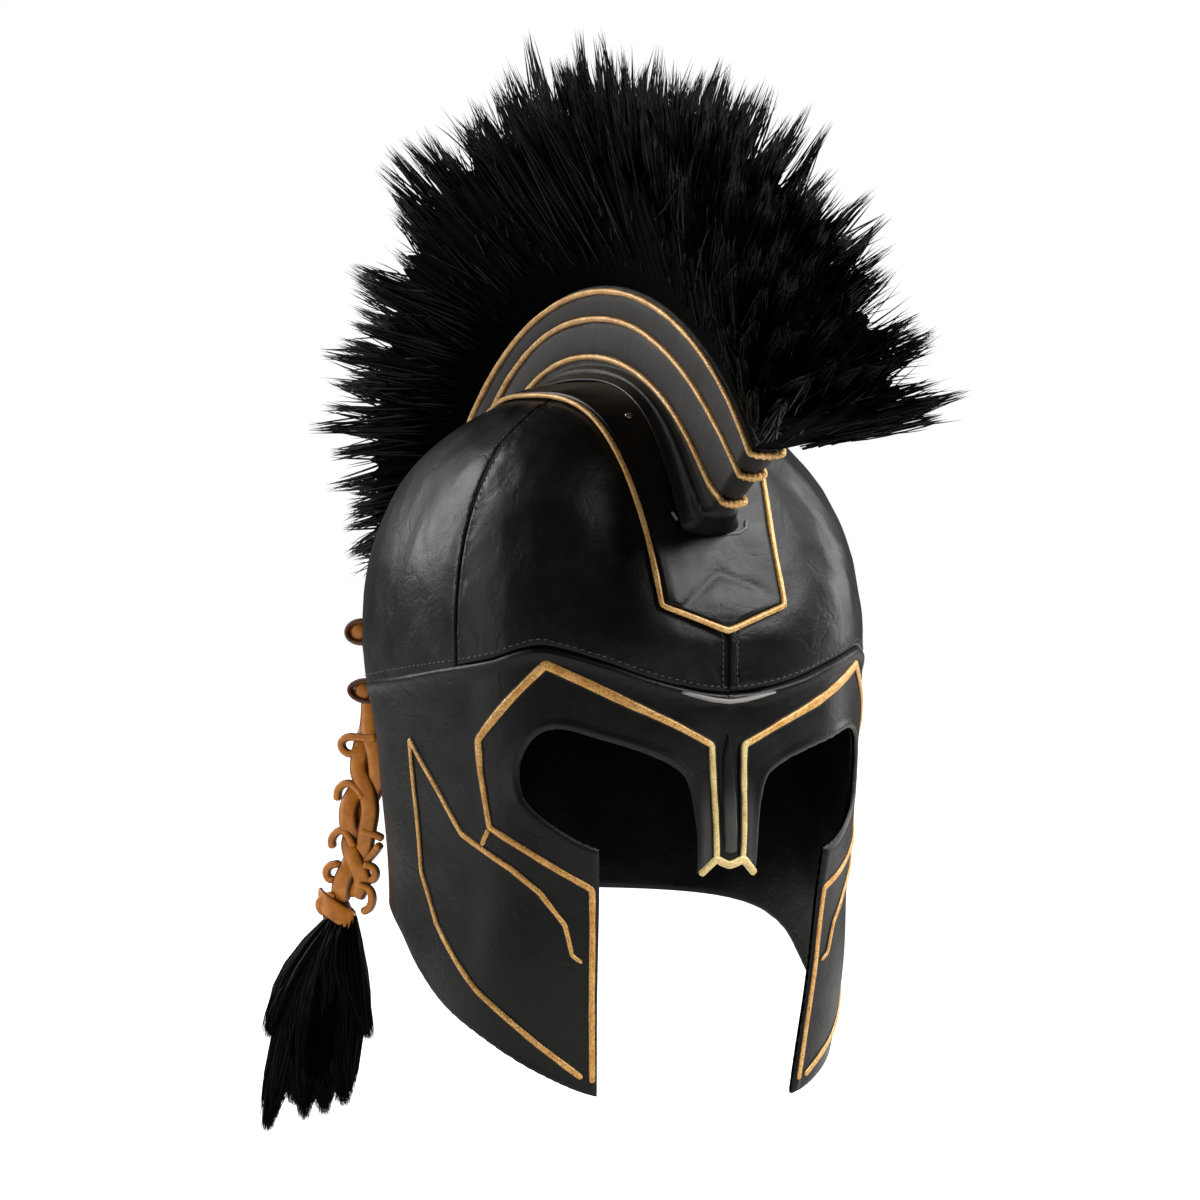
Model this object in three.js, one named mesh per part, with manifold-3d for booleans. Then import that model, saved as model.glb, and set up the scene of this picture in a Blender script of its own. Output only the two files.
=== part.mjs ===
// A leather crested helmet in millimetres, +Z up, facing -Y, with its origin inside the top of the crown.
// Angles round the helmet run from 0 at the nose to 180 at the nape, positive towards +X.
import * as THREE from 'three';
import * as BufferGeometryUtils from 'three/addons/utils/BufferGeometryUtils.js';
import Module from 'manifold-3d';

// Driving dimensions of the leather shell
const leatherWall = 3;
const crownHalfWidth = 98;
const crownFront = 102;
const crownRear = 115;
const crownHeight = 106;
const guardDepth = 187;
const noseForward = 6.5;
const noseHalfAngle = 14;
const sideSeamAngle = 67;
const shellColumns = 60;
const fit = 0.3;

// How full the crown's upright curve is, and how much less of that the forehead has
const sideFullness = 2.3;
const foreheadSlope = 1;

// Plate on the crown and its piping
const plateHalfWidth = 34;
const plateThickness = 1.8;
const plateClearance = 0.7;
const platePipingRadius = 1.5;
const plateSteps = 20;
const plateTipSteps = 4;

// Standing comb that holds the plume
const combCentreForward = 5.6;
const combCentreDrop = 114;
const combRadius = 157;
const combFrontAngle = 56;
const combRearAngle = 68;
const combFootHalf = 14;
const combWaistHalf = 5;
const combTopHalf = 8;
const combRimHalf = 7;
const combRimHeight = 2.5;
const combFootHeight = 2;
const combCordRadius = 1.3;
const combCordSeat = 2.5;

// Trim strips
const trimHalfWidth = 1.5;
const trimHalfHeight = 0.6;
const browTrimHalfWidth = 1.7;
const lipHalfWidth = 2.2;
const lipHalfHeight = 0.9;
const ribHalfWidth = 3.2;
const ribHalfHeight = 0.8;

// Plume and tassel
const plumeLength = 107;
const plumeSplay = 28;
const plumeRootHalf = 6;
const plumeLockDepth = 0.26;
const plumeRaggedness = 0.09;
const plumeEdgeLoss = 0.12;
const tasselLength = 96;
const tasselHalfWidth = 20;
const tasselHalfDepth = 18;
const tasselLean = 12;
const tasselRidge = 0.2;
const tasselLockHang = 0.2;

// Lacing and braid on the right rear quarter
const laceAngle = -138;
const laceRadius = 2.1;
const loopReach = 11;
const loopHalfSpan = 4.6;
const upperLoopRise = 4.2;
const lowerLoopDrop = 20.8;
const braidHalfWidth = 5.4;
const braidHalfDepth = 7.8;
const braidLength = 78;
const braidLean = 15;
const braidStandOff = 5;
const braidCrossings = 4;
const bindingHalfWidth = 7;
const bindingHalfDepth = 9.4;
const bindingHeight = 15;
const bindingLean = 1.5;

const browLevel = leatherWall - crownHeight;
const radian = Math.PI / 180;

// Horizontal sections below the brow: drop is a share of guardDepth,
// width, front and rear are shares of crownHalfWidth, crownFront and crownRear.
const sectionRows = [
  { drop: 0, width: 1, front: 1, rear: 1 },
  { drop: 0.085, width: 0.995, front: 1, rear: 0.94 },
  { drop: 0.225, width: 0.975, front: 1, rear: 0.82 },
  { drop: 0.444, width: 0.952, front: 0.967, rear: 0.75 },
  { drop: 0.55, width: 0.942, front: 0.933, rear: 0.73 },
  { drop: 0.733, width: 0.938, front: 0.876, rear: 0.73 },
  { drop: 1, width: 0.87, front: 0.79, rear: 0.72 },
  { drop: 1.2, width: 0.84, front: 0.75, rear: 0.7 },
];

// The seam between the crown and the guard, and the guard's lower rim: drop is a share of guardDepth.
const seamRows = [
  { angle: 0, drop: 0.112 },
  { angle: 8, drop: 0.104 },
  { angle: 19, drop: 0.079 },
  { angle: 30, drop: 0.042 },
  { angle: 42, drop: 0.01 },
  { angle: 48, drop: 0.014 },
  { angle: 56, drop: 0.036 },
  { angle: 67, drop: 0.051 },
  { angle: 85, drop: 0.066 },
  { angle: 113, drop: 0.084 },
  { angle: 180, drop: 0.096 },
];
const rimRows = [
  { angle: 0, drop: 1.02 },
  { angle: 31.8, drop: 0.998 },
  { angle: 47, drop: 0.949 },
  { angle: 65, drop: 0.864 },
  { angle: 78, drop: 0.797 },
  { angle: 89, drop: 0.719 },
  { angle: 99, drop: 0.641 },
  { angle: 113, drop: 0.588 },
  { angle: 135, drop: 0.562 },
  { angle: 180, drop: 0.552 },
];

// Half of the face opening, from the nose's lower corner round the eye and down the cheek.
const openingRows = [
  { angle: 7.7, drop: 0.508 },
  { angle: 8.3, drop: 0.396 },
  { angle: 10.2, drop: 0.307 },
  { angle: 14, drop: 0.27 },
  { angle: 21.6, drop: 0.238 },
  { angle: 30.4, drop: 0.212 },
  { angle: 39.4, drop: 0.189 },
  { angle: 45.3, drop: 0.207 },
  { angle: 49, drop: 0.262 },
  { angle: 49, drop: 0.325 },
  { angle: 45.7, drop: 0.369 },
  { angle: 37.3, drop: 0.425 },
  { angle: 30.7, drop: 0.4535 },
  { angle: 30.8, drop: 0.574 },
  { angle: 31.5, drop: 0.797 },
  { angle: 31.8, drop: 1.08 },
];

// The first rows of the opening follow the eye as one smooth curve.
const eyeRows = 13;
const eyeSteps = 34;

// Gold lines on one half: angle in degrees, drop as a share of guardDepth.
const browTrimRows = [
  { angle: 3.6, drop: 0.452 },
  { angle: 3.9, drop: 0.34 },
  { angle: 4.2, drop: 0.224 },
  { angle: 13.5, drop: 0.169 },
  { angle: 23.8, drop: 0.132 },
  { angle: 33, drop: 0.09 },
  { angle: 42.5, drop: 0.047 },
  { angle: 51.5, drop: 0.128 },
  { angle: 60.3, drop: 0.213 },
  { angle: 60, drop: 0.28 },
  { angle: 57.6, drop: 0.405 },
  { angle: 49, drop: 0.45 },
  { angle: 39.5, drop: 0.503 },
  { angle: 32.4, drop: 0.541 },
  { angle: 32.5, drop: 0.65 },
  { angle: 32.9, drop: 0.8 },
  { angle: 33.1, drop: 0.968 },
];
const leafTrimRows = [
  { angle: 35.6, drop: 0.957 },
  { angle: 46.6, drop: 0.886 },
  { angle: 63.5, drop: 0.765 },
  { angle: 78.7, drop: 0.619 },
  { angle: 85.8, drop: 0.507 },
  { angle: 87.3, drop: 0.336 },
  { angle: 88.2, drop: 0.214 },
  { angle: 76.8, drop: 0.32 },
  { angle: 67.1, drop: 0.42 },
  { angle: 60.4, drop: 0.452 },
  { angle: 52, drop: 0.497 },
  { angle: 45, drop: 0.548 },
  { angle: 39, drop: 0.619 },
  { angle: 37.4, drop: 0.686 },
  { angle: 34.9, drop: 0.703 },
];
const linkRows = [
  { angle: 58.6, drop: 0.419 },
  { angle: 59.7, drop: 0.437 },
];
const noseEndRows = [
  { angle: 7, drop: 0.501 },
  { angle: 3.2, drop: 0.471 },
  { angle: 0, drop: 0.481 },
];
const lipRows = [
  { angle: 11.2, drop: 0.119 },
  { angle: 5.5, drop: 0.136 },
  { angle: 0, drop: 0.146 },
];
const ribRows = [
  { angle: 0, drop: 0.215 },
  { angle: 0, drop: 0.34 },
  { angle: 0, drop: 0.45 },
];

// The plate over the crown: angle is from straight up in the middle plane, negative to the front,
// half is a share of plateHalfWidth.
const plateRows = [
  { angle: -86.6, half: 0.02 },
  { angle: -80.8, half: 0.79 },
  { angle: -60, half: 0.82 },
  { angle: -30, half: 0.96 },
  { angle: 0, half: 1.06 },
  { angle: 12, half: 1 },
  { angle: 30, half: 0.82 },
  { angle: 50, half: 0.72 },
  { angle: 72, half: 0.66 },
  { angle: 79, half: 0.02 },
];

// Comb radii on its two lower gold arcs, as shares of combRadius.
const combRows = [
  { angle: -56, inner: 0.783, middle: 0.904 },
  { angle: -50, inner: 0.755, middle: 0.894 },
  { angle: -40, inner: 0.757, middle: 0.889 },
  { angle: -24, inner: 0.782, middle: 0.9 },
  { angle: -9, inner: 0.806, middle: 0.918 },
  { angle: 6, inner: 0.832, middle: 0.932 },
  { angle: 21, inner: 0.857, middle: 0.947 },
  { angle: 36, inner: 0.869, middle: 0.948 },
  { angle: 50, inner: 0.872, middle: 0.94 },
  { angle: 68, inner: 0.866, middle: 0.93 },
];

// Hair length round the comb, as a share of plumeLength, by the direction that it points in.
const plumeRows = [
  { angle: -80, length: 1.06 },
  { angle: -66, length: 1.06 },
  { angle: -50, length: 0.9 },
  { angle: -30, length: 0.94 },
  { angle: 0, length: 1.02 },
  { angle: 25, length: 1.02 },
  { angle: 45, length: 0.97 },
  { angle: 70, length: 0.84 },
  { angle: 95, length: 0.66 },
  { angle: 118, length: 0.48 },
];

const wasm = await Module();
wasm.setup();

// A smooth value of one column between the rows of a table, by Catmull-Rom steps.
function tableValue(rows, key, at, column) {
  const last = rows.length - 1;
  let i = 0;
  while (i < last - 1 && at > rows[i + 1][key]) i += 1;
  const before = rows[Math.max(i - 1, 0)];
  const start = rows[i];
  const end = rows[i + 1];
  const after = rows[Math.min(i + 2, last)];
  const span = end[key] - start[key];
  const t = THREE.MathUtils.clamp((at - start[key]) / span, 0, 1);
  const slopeIn = (end[column] - before[column]) / (end[key] - before[key]) * span;
  const slopeOut = (after[column] - start[column]) / (after[key] - start[key]) * span;
  const t2 = t * t;
  const t3 = t2 * t;
  return (2 * t3 - 3 * t2 + 1) * start[column] + (t3 - 2 * t2 + t) * slopeIn
    + (3 * t2 - 2 * t3) * end[column] + (t3 - t2) * slopeOut;
}

// Outline of a horizontal section: a superellipse, squarer at the brow than at the nape.
function planRadius(angle, drop) {
  const across = Math.abs(Math.sin(angle));
  const along = Math.abs(Math.cos(angle));
  const squareness = 2.05 + 0.55 * (1 + Math.cos(angle)) / 2;
  const halfWidth = crownHalfWidth * tableValue(sectionRows, 'drop', drop, 'width');
  const halfLength = Math.cos(angle) > 0
    ? crownFront * tableValue(sectionRows, 'drop', drop, 'front')
    : crownRear * tableValue(sectionRows, 'drop', drop, 'rear');
  return ((across / halfWidth) ** squareness + (along / halfLength) ** squareness) ** (-1 / squareness);
}

// The power of the crown's upright curve at a share of its height: the forehead slopes most near the brow.
function crownFullness(angle, share) {
  const frontness = Math.max(Math.cos(angle), 0) ** 4;
  return sideFullness - foreheadSlope * frontness * (1 - share * share);
}

function crownSpread(angle, share) {
  const power = crownFullness(angle, share);
  return (1 - Math.min(share, 1) ** power) ** (1 / power);
}

function aroundAxis(angle, radius, height) {
  return new THREE.Vector3(radius * Math.sin(angle), -radius * Math.cos(angle), height);
}

// The outer face of the leather. rise 0 to 1 goes from brow to top, drop 0 to 1 from brow to cheek tips.
function crownPoint(angle, rise) {
  const share = Math.sin(rise * Math.PI / 2) ** (2 / sideFullness);
  const radius = planRadius(angle, 0) * crownSpread(angle, share);
  return aroundAxis(angle, radius, browLevel + crownHeight * share);
}

function guardPoint(angle, drop) {
  const nearNose = Math.exp(-((angle / radian / noseHalfAngle) ** 2));
  const belowBrow = THREE.MathUtils.smoothstep(drop, 0.2, 0.5);
  const radius = planRadius(angle, Math.max(drop, 0)) + noseForward * nearNose * belowBrow;
  return aroundAxis(angle, radius, browLevel - drop * guardDepth);
}

// The outward normal of a surface given as a function of two values, from small steps of both.
function surfaceNormal(surface, first, second, step) {
  const alongFirst = surface(first + step, second).sub(surface(first - step, second));
  const alongSecond = surface(first, second + step).sub(surface(first, second - step));
  return alongFirst.cross(alongSecond).normalize();
}

function guardNormal(angle, drop) {
  const normal = surfaceNormal(guardPoint, angle, drop, 0.002);
  return normal.dot(guardPoint(angle, drop).setZ(0)) < 0 ? normal.negate() : normal;
}

function crownNormal(angle, rise) {
  if (rise > 0.998) return new THREE.Vector3(0, 0, 1);
  const step = 0.0005;
  const normal = surfaceNormal(crownPoint, angle, Math.max(rise, step), step);
  return normal.dot(crownPoint(angle, rise).setZ(crownHeight)) < 0 ? normal.negate() : normal;
}

// Above 1 outside the crown's outer face, below 1 inside it.
function crownField(point) {
  const angle = Math.atan2(point.x, -point.y);
  const height = Math.max(point.z - browLevel, 0) / crownHeight;
  const power = crownFullness(angle, Math.min(height, 1));
  return (Math.hypot(point.x, point.y) / planRadius(angle, 0)) ** power + height ** power;
}

// The distance along a direction at which it leaves the crown.
function crownReach(start, direction) {
  let low = 0;
  let high = 2 * crownRear;
  for (let i = 0; i < 40; i += 1) {
    const middle = (low + high) / 2;
    if (crownField(start.clone().addScaledVector(direction, middle)) < 1) low = middle;
    else high = middle;
  }
  return low;
}

function crownFieldNormal(point) {
  const step = 0.05;
  const slope = ['x', 'y', 'z'].map((axis) => {
    const ahead = point.clone();
    const behind = point.clone();
    ahead[axis] += step;
    behind[axis] -= step;
    return crownField(ahead) - crownField(behind);
  });
  return new THREE.Vector3(...slope).normalize();
}

// A point over the crown, x from the middle plane and angle from straight up, lifted off the leather.
function crestPoint(x, angle, lift) {
  const start = new THREE.Vector3(x, 0, browLevel);
  const direction = new THREE.Vector3(0, Math.sin(angle), Math.cos(angle));
  const foot = start.clone().addScaledVector(direction, crownReach(start, direction));
  const normal = crownFieldNormal(foot);
  return { point: foot.clone().addScaledVector(normal, lift), normal };
}

// A closed mesh from vertices and triangles, with its faces turned outward.
function closedGeometry(vertices, triangles) {
  const geometry = new THREE.BufferGeometry();
  const numbers = vertices.flatMap((vertex) => vertex.toArray());
  geometry.setAttribute('position', new THREE.Float32BufferAttribute(numbers, 3));
  geometry.setIndex(triangles.flat());
  const merged = BufferGeometryUtils.mergeVertices(geometry, 1e-4);
  const index = Array.from(merged.index.array);
  const kept = [];
  for (let i = 0; i < index.length; i += 3) {
    const [a, b, c] = index.slice(i, i + 3);
    if (a !== b && b !== c && c !== a) kept.push(a, b, c);
  }
  const at = (i) => new THREE.Vector3().fromBufferAttribute(merged.attributes.position, i);
  let volume = 0;
  for (let i = 0; i < kept.length; i += 3) {
    volume += at(kept[i]).cross(at(kept[i + 1])).dot(at(kept[i + 2]));
  }
  if (volume < 0) {
    for (let i = 0; i < kept.length; i += 3) [kept[i], kept[i + 1]] = [kept[i + 1], kept[i]];
  }
  merged.setIndex(kept);
  return merged;
}

// A solid through a list of rings of points. A closed path joins the last ring to the first,
// an open one is capped at both ends.
function loft(rings, closed = false) {
  const sides = rings[0].length;
  const vertices = rings.flat();
  const triangles = [];
  const spans = closed ? rings.length : rings.length - 1;
  for (let i = 0; i < spans; i += 1) {
    const here = i * sides;
    const next = ((i + 1) % rings.length) * sides;
    for (let j = 0; j < sides; j += 1) {
      const k = (j + 1) % sides;
      triangles.push([here + j, next + j, next + k], [here + j, next + k, here + k]);
    }
  }
  if (!closed) {
    [0, rings.length - 1].forEach((ring, end) => {
      const centre = new THREE.Vector3();
      rings[ring].forEach((point) => centre.addScaledVector(point, 1 / sides));
      const middle = vertices.push(centre) - 1;
      for (let j = 0; j < sides; j += 1) {
        const first = ring * sides + j;
        const second = ring * sides + (j + 1) % sides;
        triangles.push(end === 0 ? [middle, first, second] : [middle, second, first]);
      }
    });
  }
  return closedGeometry(vertices, triangles);
}

// A solid wall between an outer and an inner grid of points. When wrapped, the columns form a ring.
function wallBetween(outer, inner, wrapped = false) {
  const columns = outer.length;
  const rows = outer[0].length;
  const vertices = [...outer.flat(), ...inner.flat()];
  const offset = columns * rows;
  const triangles = [];
  const quad = (a, b, c, d) => triangles.push([a, b, c], [a, c, d]);
  const spans = wrapped ? columns : columns - 1;
  for (let i = 0; i < spans; i += 1) {
    const here = i * rows;
    const next = ((i + 1) % columns) * rows;
    for (let j = 0; j < rows - 1; j += 1) {
      quad(here + j, next + j, next + j + 1, here + j + 1);
      quad(offset + here + j + 1, offset + next + j + 1, offset + next + j, offset + here + j);
    }
    quad(here, offset + here, offset + next, next);
    quad(here + rows - 1, next + rows - 1, offset + next + rows - 1, offset + here + rows - 1);
  }
  if (!wrapped) {
    const last = (columns - 1) * rows;
    for (let j = 0; j < rows - 1; j += 1) {
      quad(j, j + 1, offset + j + 1, offset + j);
      quad(last + j + 1, last + j, offset + last + j, offset + last + j + 1);
    }
  }
  return closedGeometry(vertices, triangles);
}

// A strip or cord along a path of points with normals: an even-sided oval section, mitred at its corners
// as far as the sharpest mitre allows.
const sharpestMitre = 0.45;

function strip(path, halfWidth, halfHeight, sides, closed = false) {
  const count = path.length;
  const neighbour = (i) => (closed ? (i + count) % count : THREE.MathUtils.clamp(i, 0, count - 1));
  const rings = path.map(({ point, normal }, i) => {
    const back = point.clone().sub(path[neighbour(i - 1)].point).normalize();
    const ahead = path[neighbour(i + 1)].point.clone().sub(point).normalize();
    const into = back.lengthSq() > 0 ? back : ahead;
    const out = ahead.lengthSq() > 0 ? ahead : back;
    const tangent = into.clone().add(out).normalize();
    const side = normal.clone().cross(tangent).normalize();
    const up = tangent.clone().cross(side).normalize();
    const mitre = 1 / Math.max(Math.cos(into.angleTo(out) / 2), sharpestMitre);
    return Array.from({ length: sides }, (_, j) => {
      const turn = (j + 0.5) / sides * 2 * Math.PI;
      const flat = Math.cos(Math.PI / sides);
      return point.clone()
        .addScaledVector(side, halfWidth * mitre * Math.cos(turn) / flat)
        .addScaledVector(up, halfHeight * Math.sin(turn) / flat);
    });
  });
  return loft(rings, closed);
}

function toBare(geometry) {
  const bare = geometry.clone();
  bare.deleteAttribute('normal');
  bare.deleteAttribute('uv');
  return bare;
}

function toManifold(geometry) {
  const merged = BufferGeometryUtils.mergeVertices(toBare(geometry), 1e-4);
  return new wasm.Manifold(new wasm.Mesh({
    numProp: 3,
    vertProperties: new Float32Array(merged.attributes.position.array),
    triVerts: new Uint32Array(merged.index.array),
  }));
}

function toGeometry(manifold) {
  const mesh = manifold.getMesh();
  const geometry = new THREE.BufferGeometry();
  geometry.setAttribute('position', new THREE.BufferAttribute(new Float32Array(mesh.vertProperties), 3));
  geometry.setIndex(new THREE.BufferAttribute(new Uint32Array(mesh.triVerts), 1));
  return geometry;
}

// A point and normal on the guard's outer face, lifted off the leather.
function guardSeat(angleDegrees, drop, lift) {
  const angle = angleDegrees * radian;
  const normal = guardNormal(angle, drop);
  return { point: guardPoint(angle, drop).addScaledVector(normal, lift), normal };
}

function columnAngle(i) {
  return i / shellColumns * 2 * Math.PI - Math.PI;
}

function seamDrop(angle) {
  return tableValue(seamRows, 'angle', Math.abs(angle) / radian, 'drop');
}

// The guard's outward direction in the level plane.
function levelNormal(angle, drop) {
  return guardNormal(angle, drop).setZ(0).normalize();
}

// The crown, closed over the top: outer rings down to the seam, then inner rings back up.
function crownShell() {
  const risesAbove = [0.97, 0.87, 0.72, 0.54, 0.34, 0.11, 0];
  const angles = Array.from({ length: shellColumns }, (_, i) => columnAngle(i));
  const lowest = (angle) => seamDrop(angle) - fit / 2 / guardDepth;
  const outer = risesAbove.map((rise) => angles.map((angle) => crownPoint(angle, rise)));
  outer.push(angles.map((angle) => guardPoint(angle, lowest(angle))));
  const inner = risesAbove.map((rise) => angles.map((angle) =>
    crownPoint(angle, rise).addScaledVector(crownNormal(angle, rise), -leatherWall)));
  inner.push(angles.map((angle) =>
    guardPoint(angle, lowest(angle)).addScaledVector(levelNormal(angle, lowest(angle)), -leatherWall)));
  return loft([...outer, ...inner.reverse()]);
}

// A tall wedge that opens to the front, its edge on the middle plane.
function frontWedge(edgeForward) {
  const reach = 4 * crownRear;
  const spread = sideSeamAngle * radian;
  const shape = new THREE.Shape();
  shape.moveTo(0, -edgeForward);
  shape.lineTo(-reach * Math.sin(spread), -edgeForward - reach * Math.cos(spread));
  shape.lineTo(0, -edgeForward - 2 * reach);
  shape.lineTo(reach * Math.sin(spread), -edgeForward - reach * Math.cos(spread));
  const wedge = new THREE.ExtrudeGeometry(shape, { depth: 4 * crownHeight, bevelEnabled: false });
  wedge.translate(0, 0, browLevel - crownHeight);
  return toManifold(wedge);
}

// The guard as a full ring from the seam to the rim.
function guardShell() {
  const rows = 8;
  const column = (i, depth) => {
    const angle = columnAngle(i);
    const top = seamDrop(angle) + fit / 2 / guardDepth;
    const bottom = tableValue(rimRows, 'angle', Math.abs(angle) / radian, 'drop');
    return Array.from({ length: rows }, (_, j) => {
      const drop = THREE.MathUtils.lerp(top, bottom, j / (rows - 1));
      return guardPoint(angle, drop).addScaledVector(levelNormal(angle, drop), -depth);
    });
  };
  const grid = (depth) => Array.from({ length: shellColumns }, (_, i) => column(i, depth));
  return wallBetween(grid(0), grid(leatherWall), true);
}

// The face opening as a solid that fans out from the middle axis, so that its cut is square to the leather.
function faceCutter() {
  const flat = openingRows.map(({ angle, drop }) => new THREE.Vector2(angle, drop));
  const eye = new THREE.SplineCurve(flat.slice(0, eyeRows));
  const half = [...eye.getSpacedPoints(eyeSteps), ...flat.slice(eyeRows)];
  const mirrored = half.map(({ x, y }) => new THREE.Vector2(-x, y)).reverse();
  const radii = [0.6, 0.88, 1.1, 1.9].map((share) => share * crownHalfWidth);
  const cutter = new THREE.ExtrudeGeometry(new THREE.Shape([...half, ...mirrored]),
    { depth: radii.length - 1, steps: radii.length - 1, bevelEnabled: false });
  const bare = BufferGeometryUtils.mergeVertices(toBare(cutter), 1e-6);
  const { position } = bare.attributes;
  const corners = Array.from({ length: position.count }, (_, i) => {
    const radius = radii[Math.round(position.getZ(i))];
    return aroundAxis(position.getX(i) * radian, radius, browLevel - position.getY(i) * guardDepth);
  });
  const index = Array.from(bare.index.array);
  const faces = [];
  for (let i = 0; i < index.length; i += 3) faces.push(index.slice(i, i + 3));
  return toManifold(closedGeometry(corners, faces));
}

// The plate that carries the comb, laid over the crown from brow to nape.
const plateLift = plateClearance + plateThickness;

function plateStations(count) {
  const [first, second, beforeLast, last] = [0, 1, -2, -1].map((row) => plateRows.at(row).angle);
  const steps = (from, to, parts) =>
    Array.from({ length: parts }, (_, i) => THREE.MathUtils.lerp(from, to, i / parts));
  return [
    ...steps(first, second, plateTipSteps),
    ...steps(second, beforeLast, count),
    ...steps(beforeLast, last, plateTipSteps),
    last,
  ];
}

function plateHalf(angleDegrees) {
  const [first, second, beforeLast, last] = [0, 1, -2, -1].map((row) => plateRows.at(row));
  const straight = (from, to) =>
    plateHalfWidth * THREE.MathUtils.mapLinear(angleDegrees, from.angle, to.angle, from.half, to.half);
  if (angleDegrees <= second.angle) return straight(first, second);
  if (angleDegrees >= beforeLast.angle) return straight(beforeLast, last);
  return plateHalfWidth * tableValue(plateRows.slice(1, -1), 'angle', angleDegrees, 'half');
}

function crownPlate() {
  const across = 6;
  const grid = (lift) => plateStations(plateSteps).map((angleDegrees) => {
    const half = plateHalf(angleDegrees);
    return Array.from({ length: across + 1 }, (_, j) =>
      crestPoint(half * (2 * j / across - 1), angleDegrees * radian, lift).point);
  });
  return wallBetween(grid(plateLift), grid(plateClearance));
}

// Piping laid on the crown just outside the plate's edge. The edge is a closed outline in x and arc length,
// moved outward square to itself.
function platePiping() {
  const lift = plateClearance + platePipingRadius;
  const arc = crownHeight * radian;
  const stations = plateStations(plateSteps);
  const edge = (sign, list) => list.map((angleDegrees) =>
    new THREE.Vector2(sign * plateHalf(angleDegrees), angleDegrees * arc));
  const tip = (angleDegrees) => new THREE.Vector2(0, angleDegrees * arc);
  const inner = stations.slice(1, -1);
  const outline = [
    tip(stations[0]),
    ...edge(1, inner),
    tip(stations.at(-1)),
    ...edge(-1, [...inner].reverse()),
  ];
  const path = outwardOffset(outline, platePipingRadius + fit)
    .map(({ x, y }) => crestPoint(x, y / crownHeight, lift));
  return strip(path, platePipingRadius, platePipingRadius, 6, true);
}

// A closed outline moved outward by a distance, with mitred corners. It runs with its inside on the left.
function outwardOffset(outline, distance) {
  const count = outline.length;
  const edgeNormal = (from, to) => {
    const run = to.clone().sub(from).normalize();
    return new THREE.Vector2(run.y, -run.x);
  };
  return outline.map((point, i) => {
    const before = edgeNormal(outline[(i + count - 1) % count], point);
    const after = edgeNormal(point, outline[(i + 1) % count]);
    const both = before.clone().add(after).divideScalar(1 + before.dot(after));
    return point.clone().addScaledVector(both, distance);
  });
}

// Comb geometry in the middle plane: centre, direction and radii by angle from straight up.
const combCentre = new THREE.Vector3(0, -combCentreForward, -combCentreDrop);

function combDirection(angleDegrees) {
  return new THREE.Vector3(0, Math.sin(angleDegrees * radian), Math.cos(angleDegrees * radian));
}

// The comb's foot rests on the highest part of the plate under its width.
function combRoot(angleDegrees) {
  const direction = combDirection(angleDegrees);
  return Math.max(...[0, 0.5, 1].map((share) => {
    const start = combCentre.clone().setX(share * combFootHalf);
    const reach = crownReach(start, direction);
    const normal = crownFieldNormal(start.clone().addScaledVector(direction, reach));
    return reach + (plateLift + fit) / normal.dot(direction);
  }));
}

function combStations(count) {
  return Array.from({ length: count }, (_, i) =>
    THREE.MathUtils.lerp(-combFrontAngle, combRearAngle, i / (count - 1)));
}

// Half thickness of the comb by level: it spreads into a foot on the plate and widens to the plume channel.
function combOutline(angleDegrees) {
  const root = combRoot(angleDegrees);
  const inner = combRadius * tableValue(combRows, 'angle', angleDegrees, 'inner');
  const middle = combRadius * tableValue(combRows, 'angle', angleDegrees, 'middle');
  const foot = Math.min(root + combFootHeight, inner - 2 * combFootHeight);
  const between = THREE.MathUtils.lerp;
  return [
    { radius: root, half: combFootHalf },
    { radius: foot, half: combFootHalf },
    { radius: between(foot, inner, 0.3), half: between(combWaistHalf, combFootHalf, 0.4) },
    { radius: inner - combCordSeat, half: combWaistHalf },
    { radius: inner, half: combWaistHalf },
    { radius: middle, half: between(combWaistHalf, combTopHalf, 0.3) },
    { radius: combRadius, half: combTopHalf },
    { radius: combRadius + combRimHeight, half: combRimHalf },
  ];
}

// The comb is one wall between its two flanks.
function comb() {
  const flank = (sign) => combStations(27).map((angleDegrees) => {
    const direction = combDirection(angleDegrees);
    return combOutline(angleDegrees).map(({ radius, half }) =>
      combCentre.clone().addScaledVector(direction, radius).setX(sign * half));
  });
  return wallBetween(flank(1), flank(-1));
}

// A cord round the comb at one of its arcs: along one flank, round the front, back along the other.
function combCord(level) {
  const stations = combStations(18);
  const at = (angleDegrees) => {
    const outline = combOutline(angleDegrees);
    const row = { inner: outline[4], middle: outline[5], outer: outline[6] }[level];
    return { ...row, direction: combDirection(angleDegrees) };
  };
  const sides = 5;
  const reach = combCordRadius / Math.cos(Math.PI / sides) + fit;
  const seat = (sign, angleDegrees, pastEnd) => {
    const { radius, half, direction } = at(angleDegrees);
    const forward = new THREE.Vector3(0, -direction.z, direction.y);
    const point = combCentre.clone().addScaledVector(direction, radius).addScaledVector(forward, pastEnd);
    return { point: point.setX(sign * (half + reach)), normal: direction };
  };
  const flank = (sign) => [
    seat(sign, -combFrontAngle, reach),
    ...stations.map((angleDegrees) => seat(sign, angleDegrees, 0)),
    seat(sign, combRearAngle, -reach),
  ];
  return strip([...flank(-1), ...flank(1).reverse()], combCordRadius, combCordRadius, sides, true);
}

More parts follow.
